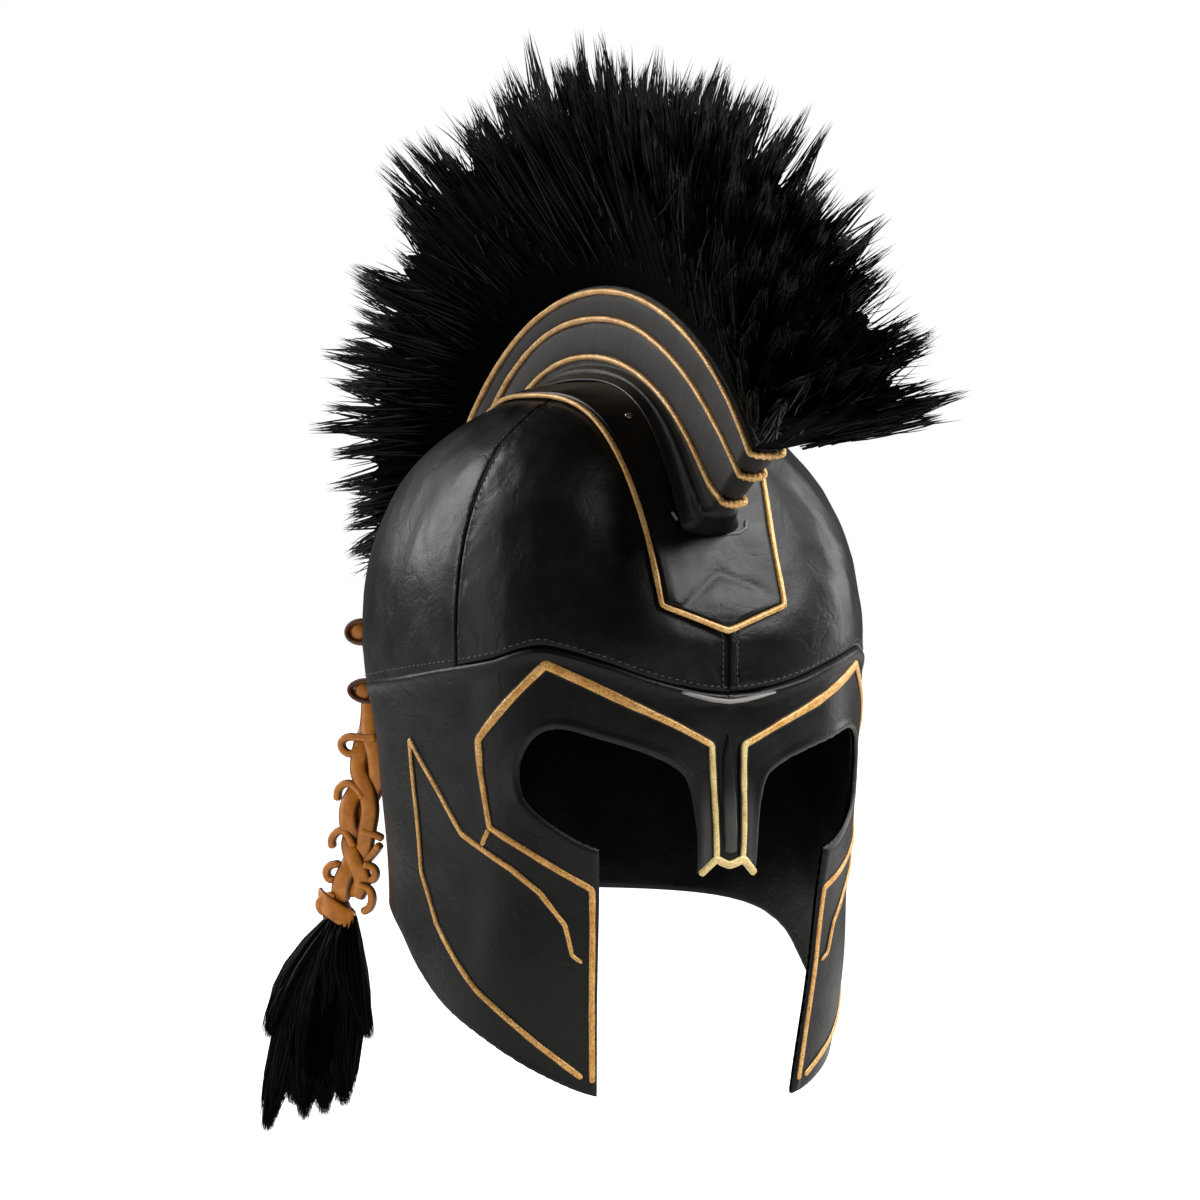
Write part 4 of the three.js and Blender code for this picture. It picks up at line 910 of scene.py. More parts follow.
def crestPoint(x, degrees, lift):
    # over the crown: x from the middle plane, angle from straight up, negative to the front
    a = np.radians(degrees)
    start = np.stack([x, 0 * x, 0 * x + browLevel], -1)
    direction = np.stack([0 * a, np.sin(a), np.cos(a)], -1)
    foot = start + direction * crownReach(start, direction)[..., None]
    normal = fieldNormal(foot)
    return foot + normal * np.asarray(lift)[..., None], normal


def plateHalf(degrees):
    inside = smoothTable(plateRows[1:-1], degrees)
    front = np.interp(degrees, [plateRows[0][0], plateRows[1][0]], [plateRows[0][1], plateRows[1][1]])
    rear = np.interp(degrees, [plateRows[-2][0], plateRows[-1][0]], [plateRows[-2][1], plateRows[-1][1]])
    half = np.where(degrees < plateRows[1][0], front, np.where(degrees > plateRows[-2][0], rear, inside))
    return plate["halfWidth"] * half


stations = np.r_[np.linspace(-86.6, -80.8, 16, endpoint=False), np.linspace(-80.8, 72, plate["rows"] - 28),
                 np.linspace(72, 79, 13)[1:]]
across = np.sin(np.linspace(-1, 1, plate["columns"]) * np.pi / 2 * 0.94) / np.sin(np.pi / 2 * 0.94)
halfAt = plateHalf(stations)
plateX = halfAt[:, None] * across[None]
plateAngle = stations[:, None] + 0 * plateX
plateFoot, plateNormal = crestPoint(plateX, plateAngle, 0 * plateX)
sideEdge = (1 - np.abs(across))[None] * halfAt[:, None]
endEdge = np.minimum(np.abs(stations + 86.6),
                     np.abs(stations - 79))[:, None] * np.pi / 180 * shell["height"] + 0 * plateX
plateEdge = np.minimum(sideEdge, endEdge)
plateRound = np.sqrt(np.clip(1 - (1 - np.clip(plateEdge / (1.2 * mm), 0, 1)) ** 2, 0, 1))
# one soft bump under the comb's front foot, with a crease that runs out and down on either side of it
foldX, foldZ = plateFoot[..., 0], plateFoot[..., 2]
creaseZ = np.where(foldX < 3 * mm, -76 * mm + 0.69 * np.minimum(foldX, 0),
                   -76.5 * mm - 0.36 * (foldX - 3 * mm))
fromCrease = foldZ - creaseZ
frontPart = smoothStep(-plateAngle, 40, 50)
crease = -0.45 * mm * np.exp(-(fromCrease / (1.7 * mm)) ** 2) * (1 - smoothStep(np.abs(foldX), 14 * mm,
                                                                                25 * mm))
bump = 0.9 * mm * np.exp(-((foldZ + 88 * mm) / (8 * mm)) ** 2 - ((foldX - 4 * mm) / (15 * mm)) ** 2)
above = 0.15 * mm * np.exp(-((fromCrease - 5 * mm) / (4.5 * mm)) ** 2)
folds = (crease + bump + above) * frontPart
plateSwell = 0.3 * mm * waves(plateFoot, 30 * mm, 51) + 0.05 * mm * waves(plateFoot, 10 * mm, 52)
plateRelief = (folds + plateSwell) * smoothStep(plateEdge, 0, 5 * mm) + 0.5 * mm * plateRound
plateTop = plateFoot + plateNormal * (plate["clearance"] + plate["thickness"] / 2
                                      + plateRound * plate["thickness"] / 2 + plateRelief)[..., None]
plateBottom = plateFoot + plateNormal * (plate["clearance"] + plate["thickness"] / 2
                                         - plateRound * plate["thickness"] / 2)[..., None]
addWall("crownPlate", plateTop, plateBottom, burnishedBlackLeather, ["crown_plate"])

# the plate's slit edges curl up round the comb's front foot: places of (x, degrees over the crown)
slitEdges = [[(-16, -56.4), (-14.5, -58.2), (-11.5, -59.6), (-8, -61.6), (-5.5, -62.2)],
             [(1.5, -61.6), (3, -62.3), (6, -61.4), (8.5, -62.3), (14, -62.2), (17.5, -61), (18.6, -58.6)]]
slitLift = plate["clearance"] + plate["thickness"] + 0.9 * mm
for tag, places in zip(("Right", "Left"), slitEdges):
    places = evenly(np.array(places) * [1, 1.8], spacing=0.3) * [mm, 1 / 1.8]
    edgePath, edgeNormal = crestPoint(places[:, 0], places[:, 1], 0 * places[:, 0] + slitLift)
    taper = endTaper(len(places), lengthOf(edgePath), 1.2 * mm)[:, None] * np.ones((1, 2))
    edge = carryProfile(edgePath, edgeNormal, ovalProfile(0.65 * mm, 0.7 * mm, 10), taper)
    # tone 0.45 paints a pale grey highlight along the curled edges
    addStrip("plateSlitEdge" + tag, edge, burnishedBlackLeather, [],
             np.full(edge.shape[:2], 0.45).ravel())
# a rivet head on either side of the comb's foot: a low dome, its height a cosine of the way out from its
# middle
rivet = {"x": 20.5 * mm, "degrees": -30.0, "radius": 1.7 * mm, "height": 1.1 * mm}
for tag, sign in (("Right", -1), ("Left", 1)):
    seatLift = np.array([plate["clearance"] + plate["thickness"] + 0.3 * mm])
    seat, seatUp = crestPoint(np.array([sign * rivet["x"]]), np.array([rivet["degrees"]]), seatLift)
    sideways = unit(np.cross(seatUp, [0.0, 1.0, 0.0]))
    lengthways = np.cross(seatUp, sideways)
    bow = np.linspace(0, np.pi, 15)[:, None, None]
    spin = np.linspace(0, 2 * np.pi, 24, endpoint=False)[None, :, None]
    dome = (seat + rivet["radius"] * np.sin(bow) * (sideways * np.cos(spin) + lengthways * np.sin(spin))
            + rivet["height"] * np.cos(bow) * seatUp)
    addPiece("plateRivet" + tag, dome, gridFaces(15, 24, wrapColumns=True), blackenedSteel,
             [])

arc = shell["height"] * np.pi / 180
pipeStations = np.r_[np.linspace(-86.6, -80.8, 10, endpoint=False), np.linspace(-80.8, 72, 130),
                     np.linspace(72, 79, 12)[1:]]
half = plateHalf(pipeStations)
half[0] = half[-1] = 0
outline = np.concatenate([np.stack([half, pipeStations * arc], -1),
                          np.stack([-half, pipeStations * arc], -1)[-2:0:-1]])
outline = evenly(np.concatenate([outline, outline[:1]]), spacing=1.0 * mm)[:-1]
run = unit(np.roll(outline, -1, 0) - np.roll(outline, 1, 0))
outline = outline + np.stack([run[:, 1], -run[:, 0]], -1) * (plate["piping"] + 0.1 * mm)
pipePath, pipeNormal = crestPoint(outline[:, 0], outline[:, 1] / arc, 0 * outline[:, 0] + 1.9 * mm)
pipeWidth = plate["piping"] * (0.85 + 0.07 * waves(pipePath, 15 * mm, 53))
pipe = carryProfile(pipePath, pipeNormal, ovalProfile(1, 1, 12), np.stack([pipeWidth, pipeWidth * 0.9], -1),
                    closed=True)
addPiece("platePiping", pipe, gridFaces(*pipe.shape[:2], wrapRows=True, wrapColumns=True), goldThreadPiping,
         ["plate_piping"])
print("stage: plate")


# comb and its gold piping

comb = {
    "centreForward": 5.6 * mm, "centreDrop": 114 * mm, "radius": 157 * mm, "front": 56, "rear": 68,
    "foot": 14 * mm, "rimHeight": 2.5 * mm, "cord": 1.3 * mm,
    "columns": 170,
}
combRows = [(-56, 0.783, 0.904), (-50, 0.755, 0.894), (-40, 0.757, 0.889), (-24, 0.782, 0.9),
            (-9, 0.806, 0.918),
            (6, 0.832, 0.932), (21, 0.857, 0.947), (36, 0.869, 0.948), (50, 0.872, 0.94), (68, 0.866, 0.93)]
combCentre = np.array([0, -comb["centreForward"], -comb["centreDrop"]])


def combDirection(degrees):
    a = np.radians(degrees)
    return np.stack([0 * a, np.sin(a), np.cos(a)], -1)


def combRoot(degrees):
    # the highest place of the plate under the comb's foot
    direction = combDirection(degrees)
    reaches = []
    for share in (0, 0.5, 1):
        start = combCentre + np.array([share * comb["foot"], 0, 0]) + 0 * direction
        reach = crownReach(start, direction)
        normal = fieldNormal(start + direction * reach[..., None])
        lift = (plate["clearance"] + plate["thickness"] + shell["fit"]) / (normal * direction).sum(-1)
        reaches.append(reach + lift)
    return np.max(reaches, 0)


combAngles = np.linspace(-comb["front"], comb["rear"], comb["columns"])
rootAt = combRoot(combAngles)
innerAt = comb["radius"] * smoothTable(combRows, combAngles, 1)
middleAt = comb["radius"] * smoothTable(combRows, combAngles, 2)
outerAt = comb["radius"] + 0 * combAngles
rimAt = outerAt + comb["rimHeight"]
# rows of the flank: which two levels a row lies between, how far, and the half thickness in millimetres
flankRows = (
    [("root", "inner", f, w) for f, w in ((0, 13.6), (0.05, 14), (0.12, 13.4), (0.2, 12.0), (0.3, 10.4),
                                          (0.4, 9.6),
                                          (0.48, 9.3), (0.55, 8.8), (0.6, 7.6), (0.64, 6.3), (0.69, 5.4),
                                          (0.75, 5.3),
                                          (0.84, 5.5), (0.92, 5.3))]
    + [("inner", "middle", f, w) for f, w in ((0, 4.6), (0.05, 4.7), (0.1, 5.4), (0.25, 5.9), (0.5, 6.1),
                                              (0.75, 6.1),
                                              (0.9, 5.8), (0.95, 5.2))]
    + [("middle", "outer", f, w) for f, w in ((0, 5.1), (0.06, 5.4), (0.12, 6.3), (0.3, 7.1), (0.6, 7.6),
                                              (0.85, 7.8),
                                              (0.93, 7.4))]
    + [("outer", "rim", f, w) for f, w in ((0, 7.2), (0.15, 7.2), (0.45, 7.6), (0.8, 7.3), (1, 6.2), (1, 3))])
levels = {"root": rootAt, "inner": innerAt, "middle": middleAt, "outer": outerAt, "rim": rimAt}
flankRadius = np.stack([(1 - f) * levels[a] + f * levels[b] for a, b, f, _ in flankRows], 1)
flankHalf = np.array([w for *_, w in flankRows])[None] * mm + 0 * flankRadius
alongEnd = np.minimum(combAngles + comb["front"], comb["rear"] - combAngles) * np.pi / 180
endDistance = alongEnd[:, None] * flankRadius
bull = np.sqrt(np.clip(1 - (1 - np.clip(endDistance / (5 * mm), 0, 1)) ** 2, 0, 1))
combMiddle = combCentre + combDirection(combAngles)[:, None] * flankRadius[..., None]
buckle = 0.22 * mm * waves(combMiddle, 24 * mm, 61) + 0.1 * mm * waves(combMiddle, 7 * mm, 62)
sideHalf = (flankHalf + buckle * smoothStep(flankRadius, rootAt[:, None] + 3 * mm,
                                            rootAt[:, None] + 9 * mm)) * bull
right = combMiddle - np.array([1, 0, 0]) * sideHalf[..., None]
left = combMiddle + np.array([1, 0, 0]) * sideHalf[..., None]
ring = np.concatenate([right, left[:, ::-1]], 1)
combFaces = gridFaces(ring.shape[0], ring.shape[1], wrapColumns=True)
combPiece = addPiece("comb", ring, combFaces, buffedGreyLeather, ["comb"])
combPiece.data.materials.append(burnishedBlackLeather)
combPiece.data.materials.append(rawEdgeAndShadowLeather)
faceMiddle = np.empty(len(combPiece.data.polygons) * 3)
combPiece.data.polygons.foreach_get("center", faceMiddle)
faceMiddle = faceMiddle.reshape(-1, 3) - combCentre
faceRadius = np.hypot(faceMiddle[:, 1], faceMiddle[:, 2])
faceAngle = np.degrees(np.arctan2(faceMiddle[:, 1], faceMiddle[:, 2]))
grooveAt = np.interp(faceAngle, combAngles, 0.4 * rootAt + 0.6 * innerAt)
isFoot = faceRadius < grooveAt
isRim = (faceRadius > comb["radius"] + 0.3 * mm) | (faceAngle < -comb["front"] + 2.4)
combPiece.data.polygons.foreach_set("material_index",
                                    np.where(isFoot, 1, np.where(isRim, 2, 0)).astype(np.int32))


def combCord(name, level, half, replaced):
    # along one flank, round the front end with small crimps, and back along the other
    at = np.linspace(-comb["front"] + 0.6, comb["rear"], 150)
    radius = np.interp(at, combAngles, levels[level])
    flank = combCentre + combDirection(at) * radius[:, None]
    rightSide = flank - np.array([1, 0, 0]) * (half + comb["cord"] * 0.62)
    leftSide = flank + np.array([1, 0, 0]) * (half + comb["cord"] * 0.62)
    forward = np.array([0, -np.cos(np.radians(comb["front"])), -np.sin(np.radians(comb["front"]))])
    bend = np.linspace(-1, 1, 40)[1:-1]
    wide = half + comb["cord"] * 0.62
    push = (0.6 + 1.5 * np.sqrt(1 - bend**2)) * mm
    crimp = 2.4 * mm * (2 * np.abs((bend * 2.6) % 1 - 0.5) - 0.5) * (1 - bend**2)
    front = (flank[0] + forward * push[:, None] + combDirection(-comb["front"]) * crimp[:, None]
             + np.array([1, 0, 0]) * (bend * wide)[:, None])
    path = np.concatenate([rightSide[::-1], front, leftSide])
    normal = unit(path - combCentre * [0, 1, 1] - np.array([1, 0, 0]) * path[:, :1])
    width = comb["cord"] * (1 + 0.07 * waves(path, 13 * mm, 63))
    taper = endTaper(len(path), lengthOf(path), 1.5 * mm)
    grid = carryProfile(path, normal, ovalProfile(1, 1, 12), np.stack([width, width], -1) * taper[:, None])
    addStrip(name, grid, goldThreadPiping, replaced)


combCord("combPipingInner", "inner", 4.7 * mm, ["comb_cord_inner"])
combCord("combPipingMiddle", "middle", 5.2 * mm, ["comb_cord_middle"])
combCord("combPipingOuter", "outer", 7.2 * mm, ["comb_cord_outer"])
print("stage: comb")


# hair

def hairBundle(name, roots, tips, bends, thickness, seed, replaced, rings=5):
    # each hair is a three-sided tapered tube on a curve of three points, closed at both ends
    draw = np.random.default_rng(seed)
    number = len(roots)
    t = np.linspace(0, 1, rings + 1)[None, :, None]
    middle = (roots + tips) / 2 + bends
    line = (1 - t) ** 2 * roots[:, None] + 2 * t * (1 - t) * middle[:, None] + t**2 * tips[:, None]
    direction = unit(tips - roots)
    side = unit(np.cross(direction, draw.normal(size=(number, 3))))
    up = np.cross(direction, side)
    taper = (1 - t[0, :-1, 0]) ** 0.5 * 0.7 + 0.3
    spin = np.arange(3) / 3 * 2 * np.pi
    offset = side[:, None] * np.cos(spin)[None, :, None] + up[:, None] * np.sin(spin)[None, :, None]
    radius = thickness * draw.uniform(0.7, 1.3, number)
    tube = line[:, :-1, None] + offset[:, None] * (radius[:, None] * taper[None])[..., None, None]
    perHair = rings * 3 + 1
    points = np.concatenate([tube.reshape(number, -1, 3), line[:, -1:]], 1)
    quads = gridFaces(rings, 3, wrapColumns=True)
    triangles = [(q[0], q[1], q[2]) for q in quads] + [(q[0], q[2], q[3]) for q in quads]
    last = (rings - 1) * 3
    triangles += [(last + k, last + (k + 1) % 3, perHair - 1) for k in range(3)] + [(2, 1, 0)]
    faces = (np.array(triangles)[None] + np.arange(number)[:, None, None] * perHair).reshape(-1, 3)
    tones = np.repeat(draw.uniform(0, 1, number) ** 2.2, perHair)
    mesh = bpy.data.meshes.new(name)
    mesh.from_pydata(points.reshape(-1, 3).tolist(), [], faces.tolist())
    mesh.attributes.new("tone", "FLOAT", "POINT").data.foreach_set("value", tones.astype(np.float32))
    mesh.polygons.foreach_set("use_smooth", [True] * len(mesh.polygons))
    mesh.materials.append(dyedHorsehair)
    piece = bpy.data.objects.new(name, mesh)
    bpy.context.collection.objects.link(piece)
    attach(piece, "root")
    if replaced:
        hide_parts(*replaced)
    print("piece", name, number, "hairs", len(faces), "faces")
    return piece


plume = {"length": 107 * mm, "splay": 28, "rootHalf": 6 * mm, "locks": 330, "hairsPerLock": 20,
         "strays": 2400,
         "hairRadius": 0.56 * mm}
plumeRows = [(-80, 0.98), (-66, 1.0), (-50, 0.9), (-30, 0.94), (0, 1.02), (25, 1.02), (45, 1.04), (70, 0.93),
             (95, 0.77), (118, 0.56)]


def plumeFoot(pointing, share):
    # where a hair that points that way is rooted on the comb's top
    seat = np.interp(pointing, [plumeRows[0][0], plumeRows[-1][0]], [-comb["front"], comb["rear"]])
    foot = combCentre + combDirection(seat) * (comb["radius"] + comb["rimHeight"] * 0.6)
    return foot + np.stack([share * plume["rootHalf"], 0 * share, 0 * share], -1)


def plumeWay(pointing, share):
    splay = np.radians(share * plume["splay"])
    way = combDirection(pointing) * np.cos(splay)[..., None]
    way[..., 0] += np.sin(splay)
    return way


def plumeReach(pointing, share):
    return plume["length"] * smoothTable(plumeRows, pointing) * (1 - 0.12 * share**2)


# a dark heart of ridged hair fills the fan under the loose locks
heartA, heartS = np.linspace(-79, 116, 260), np.linspace(-1, 1, 40)
heartAngle, heartShare = np.meshgrid(heartA, heartS, indexing="ij")
ridges = 0.5 + 0.5 * np.sin(heartAngle * 1.9 + 2.5
                            * np.sin(heartShare * 5 + heartAngle * 0.11)) * np.cos(heartShare * 9)
heartReach = plumeReach(heartAngle, heartShare) * (0.58 + 0.12 * ridges)
heartRoot = plumeFoot(heartAngle, heartShare)
heartTip = heartRoot + plumeWay(heartAngle, heartShare * 0.93) * heartReach[..., None]
heartPoints = np.concatenate([heartTip.reshape(-1, 3), heartRoot.reshape(-1, 3)])
n, m = heartAngle.shape
top = gridFaces(n, m)
border = np.concatenate([np.arange(m - 1), np.arange(n - 1) * m + m - 1,
                         (n - 1) * m + np.arange(m - 1, 0, -1),
                         np.arange(n - 1, 0, -1) * m])
following = np.roll(border, -1)
skirt = np.stack([border, following, following + n * m, border + n * m], -1)
heart = addPiece("plumeHeart", heartPoints, np.concatenate([top, top[:, ::-1] + n * m, skirt]),
                 shadedHorsehair,
                 ["plume"], tones=np.full(2 * n * m, 0.1))

draw = np.random.default_rng(seedOf["plume"])
lockPointing = np.linspace(-80, 118, plume["locks"]) + draw.normal(0, 1.2, plume["locks"])
lockPointing = np.clip(lockPointing, -81, 119)
lockShare = draw.uniform(-1, 1, plume["locks"])
lockShare = np.sign(lockShare) * np.abs(lockShare) ** 0.8
lockLength = plumeReach(lockPointing, lockShare) * draw.uniform(0.84, 1.05, plume["locks"])
lockTip = (plumeFoot(lockPointing, lockShare) + plumeWay(lockPointing, lockShare) * lockLength[:, None]
           + draw.normal(0, 3.2 * mm, (plume["locks"], 3)))
k = plume["hairsPerLock"]
pointing = np.repeat(lockPointing, k) + draw.normal(0, 2.3, plume["locks"] * k)
share = np.clip(np.repeat(lockShare, k) + draw.normal(0, 0.16, plume["locks"] * k), -1, 1)
pointing = np.clip(pointing, -81, 119)
startShare = draw.uniform(0.12, 0.5, plume["locks"] * k)
roots = plumeFoot(pointing, share) + plumeWay(pointing,
                                              share) * (plumeReach(pointing, share) * startShare)[:, None]
tipSpread = draw.normal(0, 1.3 * mm, (plume["locks"] * k, 3))
shorten = draw.uniform(0.88, 1.0, plume["locks"] * k)
tips = np.repeat(lockTip, k, axis=0) + tipSpread
tips = roots + (tips - roots) * shorten[:, None]
bends = draw.normal(0, 1.6 * mm, tips.shape)
hairBundle("plumeLocks", roots, tips, bends, plume["hairRadius"], 3, [])

number = plume["strays"]
pointing = draw.uniform(-80, 118, number)
share = draw.uniform(-1, 1, number)
reach = plumeReach(pointing, share)
roots = plumeFoot(pointing, share) + plumeWay(pointing,
                                              share) * (reach * draw.uniform(0.1, 0.6, number))[:, None]
drift = draw.normal(0, 6, number)
tipWay = plumeWay(np.clip(pointing + drift, -82, 120),
                  np.clip(share + draw.normal(0, 0.15, number), -1.1, 1.1))
tips = plumeFoot(pointing, share) + tipWay * (reach * draw.uniform(0.6, 0.96, number))[:, None]
hairBundle("plumeStrays", roots, tips, draw.normal(0, 2.2 * mm, tips.shape), plume["hairRadius"] * 0.7, 4,
           [])
print("stage: plume")


# laces, braid and tassel on the right rear

lacing = {
    "angle": -138, "radius": 2.1 * mm, "reach": 11 * mm, "halfSpan": 4.6 * mm, "upperRise": 4.2 * mm,
    "lowerDrop": 20.8 * mm, "braidLength": 78 * mm, "braidLean": 15 * mm, "standOff": 5 * mm,
    "bindingHeight": 15 * mm, "bindingLean": 1.5 * mm, "tasselLength": 96 * mm, "tasselLean": 12 * mm,
    "tasselHalf": (20 * mm, 18 * mm),
}
laceAngle = np.radians(lacing["angle"])
laceOut = np.array([np.sin(laceAngle), -np.cos(laceAngle), 0])
laceAcross = np.array([-laceOut[1], laceOut[0], 0])


def lacePoint(height, out, sideways=0.0):
    height, out, sideways = np.broadcast_arrays(np.asarray(height, float), out, sideways)
    return (height[..., None] * np.array([0, 0, 1]) + out[..., None] * laceOut + sideways[..., None]
            * laceAcross)


def shellRadius(height):
    drop = (browLevel - np.asarray(height, float)) / shell["guardDepth"]
    share = np.clip((height - browLevel) / shell["height"], 0, 1)
    power = fullness(laceAngle, share)
    return planRadius(laceAngle + 0 * drop, np.clip(drop, 0, None)) * (1 - share**power) ** (1 / power)


def addLoop(name, height, further, replaced):
    # a rolled lace that leaves the leather, bows out and comes back below, round a tan core
    turnAt = np.linspace(-0.56, 0.56, 60) * np.pi
    level = height - lacing["halfSpan"] * np.sin(turnAt)
    out = shellRadius(level) + 0.4 * mm + (lacing["reach"] - 2.6 * mm + further) * np.clip(np.cos(turnAt),
                                                                                           0, None) ** 0.7
    path = lacePoint(level, out)
    normal = np.tile(laceAcross, (60, 1))
    grid = carryProfile(path, normal, ovalProfile(1.25 * mm, 3.0 * mm, 14, 2.6))
    rows, sides = grid.shape[:2]
    closed = np.concatenate([np.repeat(grid[:1].mean(1, keepdims=True), sides, 1), grid,
                             np.repeat(grid[-1:].mean(1, keepdims=True), sides, 1)])
    addStrip(name, closed, darkTanLace, replaced, np.full(closed.shape[:2], 0.2).ravel())
    pad = np.linspace(0, np.pi, 16)[:, None]
    spin = np.linspace(0, 2 * np.pi, 28, endpoint=False)[None]
    middle = shellRadius(height) + 4.0 * mm + further * 0.8
    core = lacePoint(height + 4.0 * mm * np.sin(pad) * np.sin(spin),
                     middle + 3.9 * mm * np.sin(pad) * np.cos(spin),
                     2.3 * mm * np.cos(pad) + 0 * spin)
    addPiece(name + "Core", core, gridFaces(16, 28, wrapColumns=True), oiledTanLace, [],
             np.full(16 * 28, 0.12))


lowerLoop = browLevel - lacing["lowerDrop"]
addLoop("laceLoopUpper", browLevel + lacing["upperRise"], 0, ["lace_loop_upper"])
addLoop("laceLoopLower", lowerLoop, 3.6 * mm, ["lace_loop_lower"])

braidTop = lowerLoop - lacing["halfSpan"] - lacing["radius"] - shell["fit"]
braidOut = shellRadius(braidTop) + lacing["standOff"]
# strands and loose ends, each as places of (down, outwards, towards the viewer's side) in millimetres
strandRows = [
    [(-4, 1, 0), (6, 1, 1), (12, 0, 2.5), (20, -2.6, 3), (30, -2.6, 2), (37, 1, 0), (44, 6, -1.5),
     (52, 9, -1),
     (58, 9.5, 1.5), (66, 6, 3), (72, 4, 2), (79, 8, 0)],
    [(-3, 1.5, -1.5), (8, 2.5, -1.5), (16, 4.5, 1), (26, 5.2, 2.5), (33, 2, 3), (42, 0.2, 3), (52, 1.8, 2.6),
     (62, 4.5, 1), (70, 9.5, -1), (79, 12, 0)],
    [(-3, 0.5, -2.5), (10, -1, -2.5), (22, 1, -2.5), (33, 6, 0.5), (41, 9.5, 3), (50, 9.5, 2.8), (58, 7, -1),
     (66, 9.5, 2.6), (74, 13, 3), (81, 14, 1)],
]
curlRows = [
    [(12.4, -4), (12.6, 1), (12.2, 6), (12, 9.6), (13.5, 12.6), (16.6, 12.9), (19, 10.2), (18.2, 7),
     (15.6, 6.2)],
    [(38.5, 2.5), (35, 4.5), (32, 8), (31.6, 11.5), (34, 14.6), (39, 15.4)],
    [(58.5, 7), (55, 8.5), (51.5, 11.5), (51.8, 15), (55, 17.6), (59, 17.4)],
    [(51.5, 4), (52.8, -1.5), (54.8, -5.6)],
    [(56.5, -5), (60, -2), (66, 4)],
    [(65.5, 3), (66.4, -1.2), (69.5, -2.4), (72, -0.5), (71, 2.5)],
    [(74, 5), (75.5, 0.5), (79.5, -0.8), (83.5, 0.6), (85.5, 4.5)],
    [(65, 13), (66, 18), (69, 19.8), (71.8, 18.6), (71.5, 16)],
    [(78, 15), (79.5, 21), (82.5, 23), (85.5, 21.5), (85, 18.5)],
]
braid = {"strandHalf": (4.1 * mm, 2.5 * mm), "curlHalf": (1.7 * mm, 2.2 * mm), "spacing": 0.5 * mm}


def laceRun(rows, halves, corner):
    # a soft path through the places of a table, with a lace carried along it; its cut edges are the dark ones
    places = np.array([(*row, 4.0 - 2.5 * i / (len(rows) - 1)) if len(row) == 2 else row
                       for i, row in enumerate(rows)]) * mm
    knots = np.arange(len(places), dtype=float)
    at = np.linspace(0, len(places) - 1, 40 * len(places))
    soft = np.stack([smoothTable(np.stack([knots, places[:, i]], -1), at) for i in range(3)], -1)
    soft = roundCorners(evenly(soft, spacing=braid["spacing"]), corner, braid["spacing"])
    path = lacePoint(braidTop - soft[:, 0], braidOut + soft[:, 1], soft[:, 2])
    taper = endTaper(len(path), lengthOf(path), 1.6 * mm)[:, None] * np.ones((1, 2))
    profile = ovalProfile(halves[0], halves[1], 16, 2.7)
    grid = carryProfile(path, np.tile(laceAcross, (len(path), 1)), profile, taper)
    tones = smoothStep(np.abs(profile[:, 0]) / halves[0], 0.6, 0.95) * 0.9 + 0 * grid[..., 0]
    return grid, tones


for name, rows, halves, material, replaced in (
        ("braid", strandRows, braid["strandHalf"], oiledTanLace, ["braid"]),
        ("braidCurls", curlRows, braid["curlHalf"], oiledTanLace, [])):
    runs = [laceRun(row, halves, 1.5 * mm) for row in rows]
    starts = np.cumsum([0] + [grid.shape[0] * grid.shape[1] for grid, _ in runs])
    faces = [gridFaces(*grid.shape[:2], wrapColumns=True, start=start) for (grid, _),
             start in zip(runs, starts)]
    addPiece(name, np.concatenate([grid.reshape(-1, 3) for grid, _ in runs]), np.concatenate(faces), material,
             replaced, np.concatenate([tones.ravel() for _, tones in runs]))

# the binding: a flat lace wound twice round the braid's end, tilted, over a folded tuck
bindTop = braidTop - lacing["braidLength"] - shell["fit"]
bindOut = braidOut + lacing["braidLean"]
wrapTurn = np.linspace(0, 2 * np.pi * 2.15, 150)
tilt = 5.2 * mm * np.cos(wrapTurn)
wrapPath = lacePoint(bindTop - 4.2 * mm - 5.2 * mm * wrapTurn / wrapTurn[-1] + tilt * 0.9,
                     bindOut + 1 * mm + 7.2 * mm * np.cos(wrapTurn), 5.6 * mm * np.sin(wrapTurn))
wrapNormal = unit(np.cos(wrapTurn)[:, None] * laceOut + np.sin(wrapTurn)[:, None] * laceAcross)
wrapTaper = endTaper(150, lengthOf(wrapPath), 2.5 * mm)[:, None] * np.ones((1, 2))
wrap = carryProfile(wrapPath, wrapNormal, ovalProfile(3.1 * mm, 1.1 * mm, 14, 3), wrapTaper)
wrapTones = smoothStep(np.abs(ovalProfile(1, 1, 14, 3)[:, 0]), 0.8, 1.0) * 0.8 + 0 * wrap[..., 0]
addStrip("braidBinding", wrap, oiledTanLace, ["braid_binding"], wrapTones.ravel())
knotPad = np.linspace(0, np.pi, 22)[:, None]
knotSpin = np.linspace(0, 2 * np.pi, 30, endpoint=False)[None]
knot = lacePoint(bindTop - 8 * mm + 8.5 * mm * np.cos(knotPad) + 0 * knotSpin,
                 bindOut + 1 * mm + 6.4 * mm * np.sin(knotPad) * np.cos(knotSpin),
                 4.8 * mm * np.sin(knotPad) * np.sin(knotSpin))
addPiece("braidKnot", knot, gridFaces(22, 30, wrapColumns=True), darkTanLace, [],
         np.full(22 * 30, 0.3))

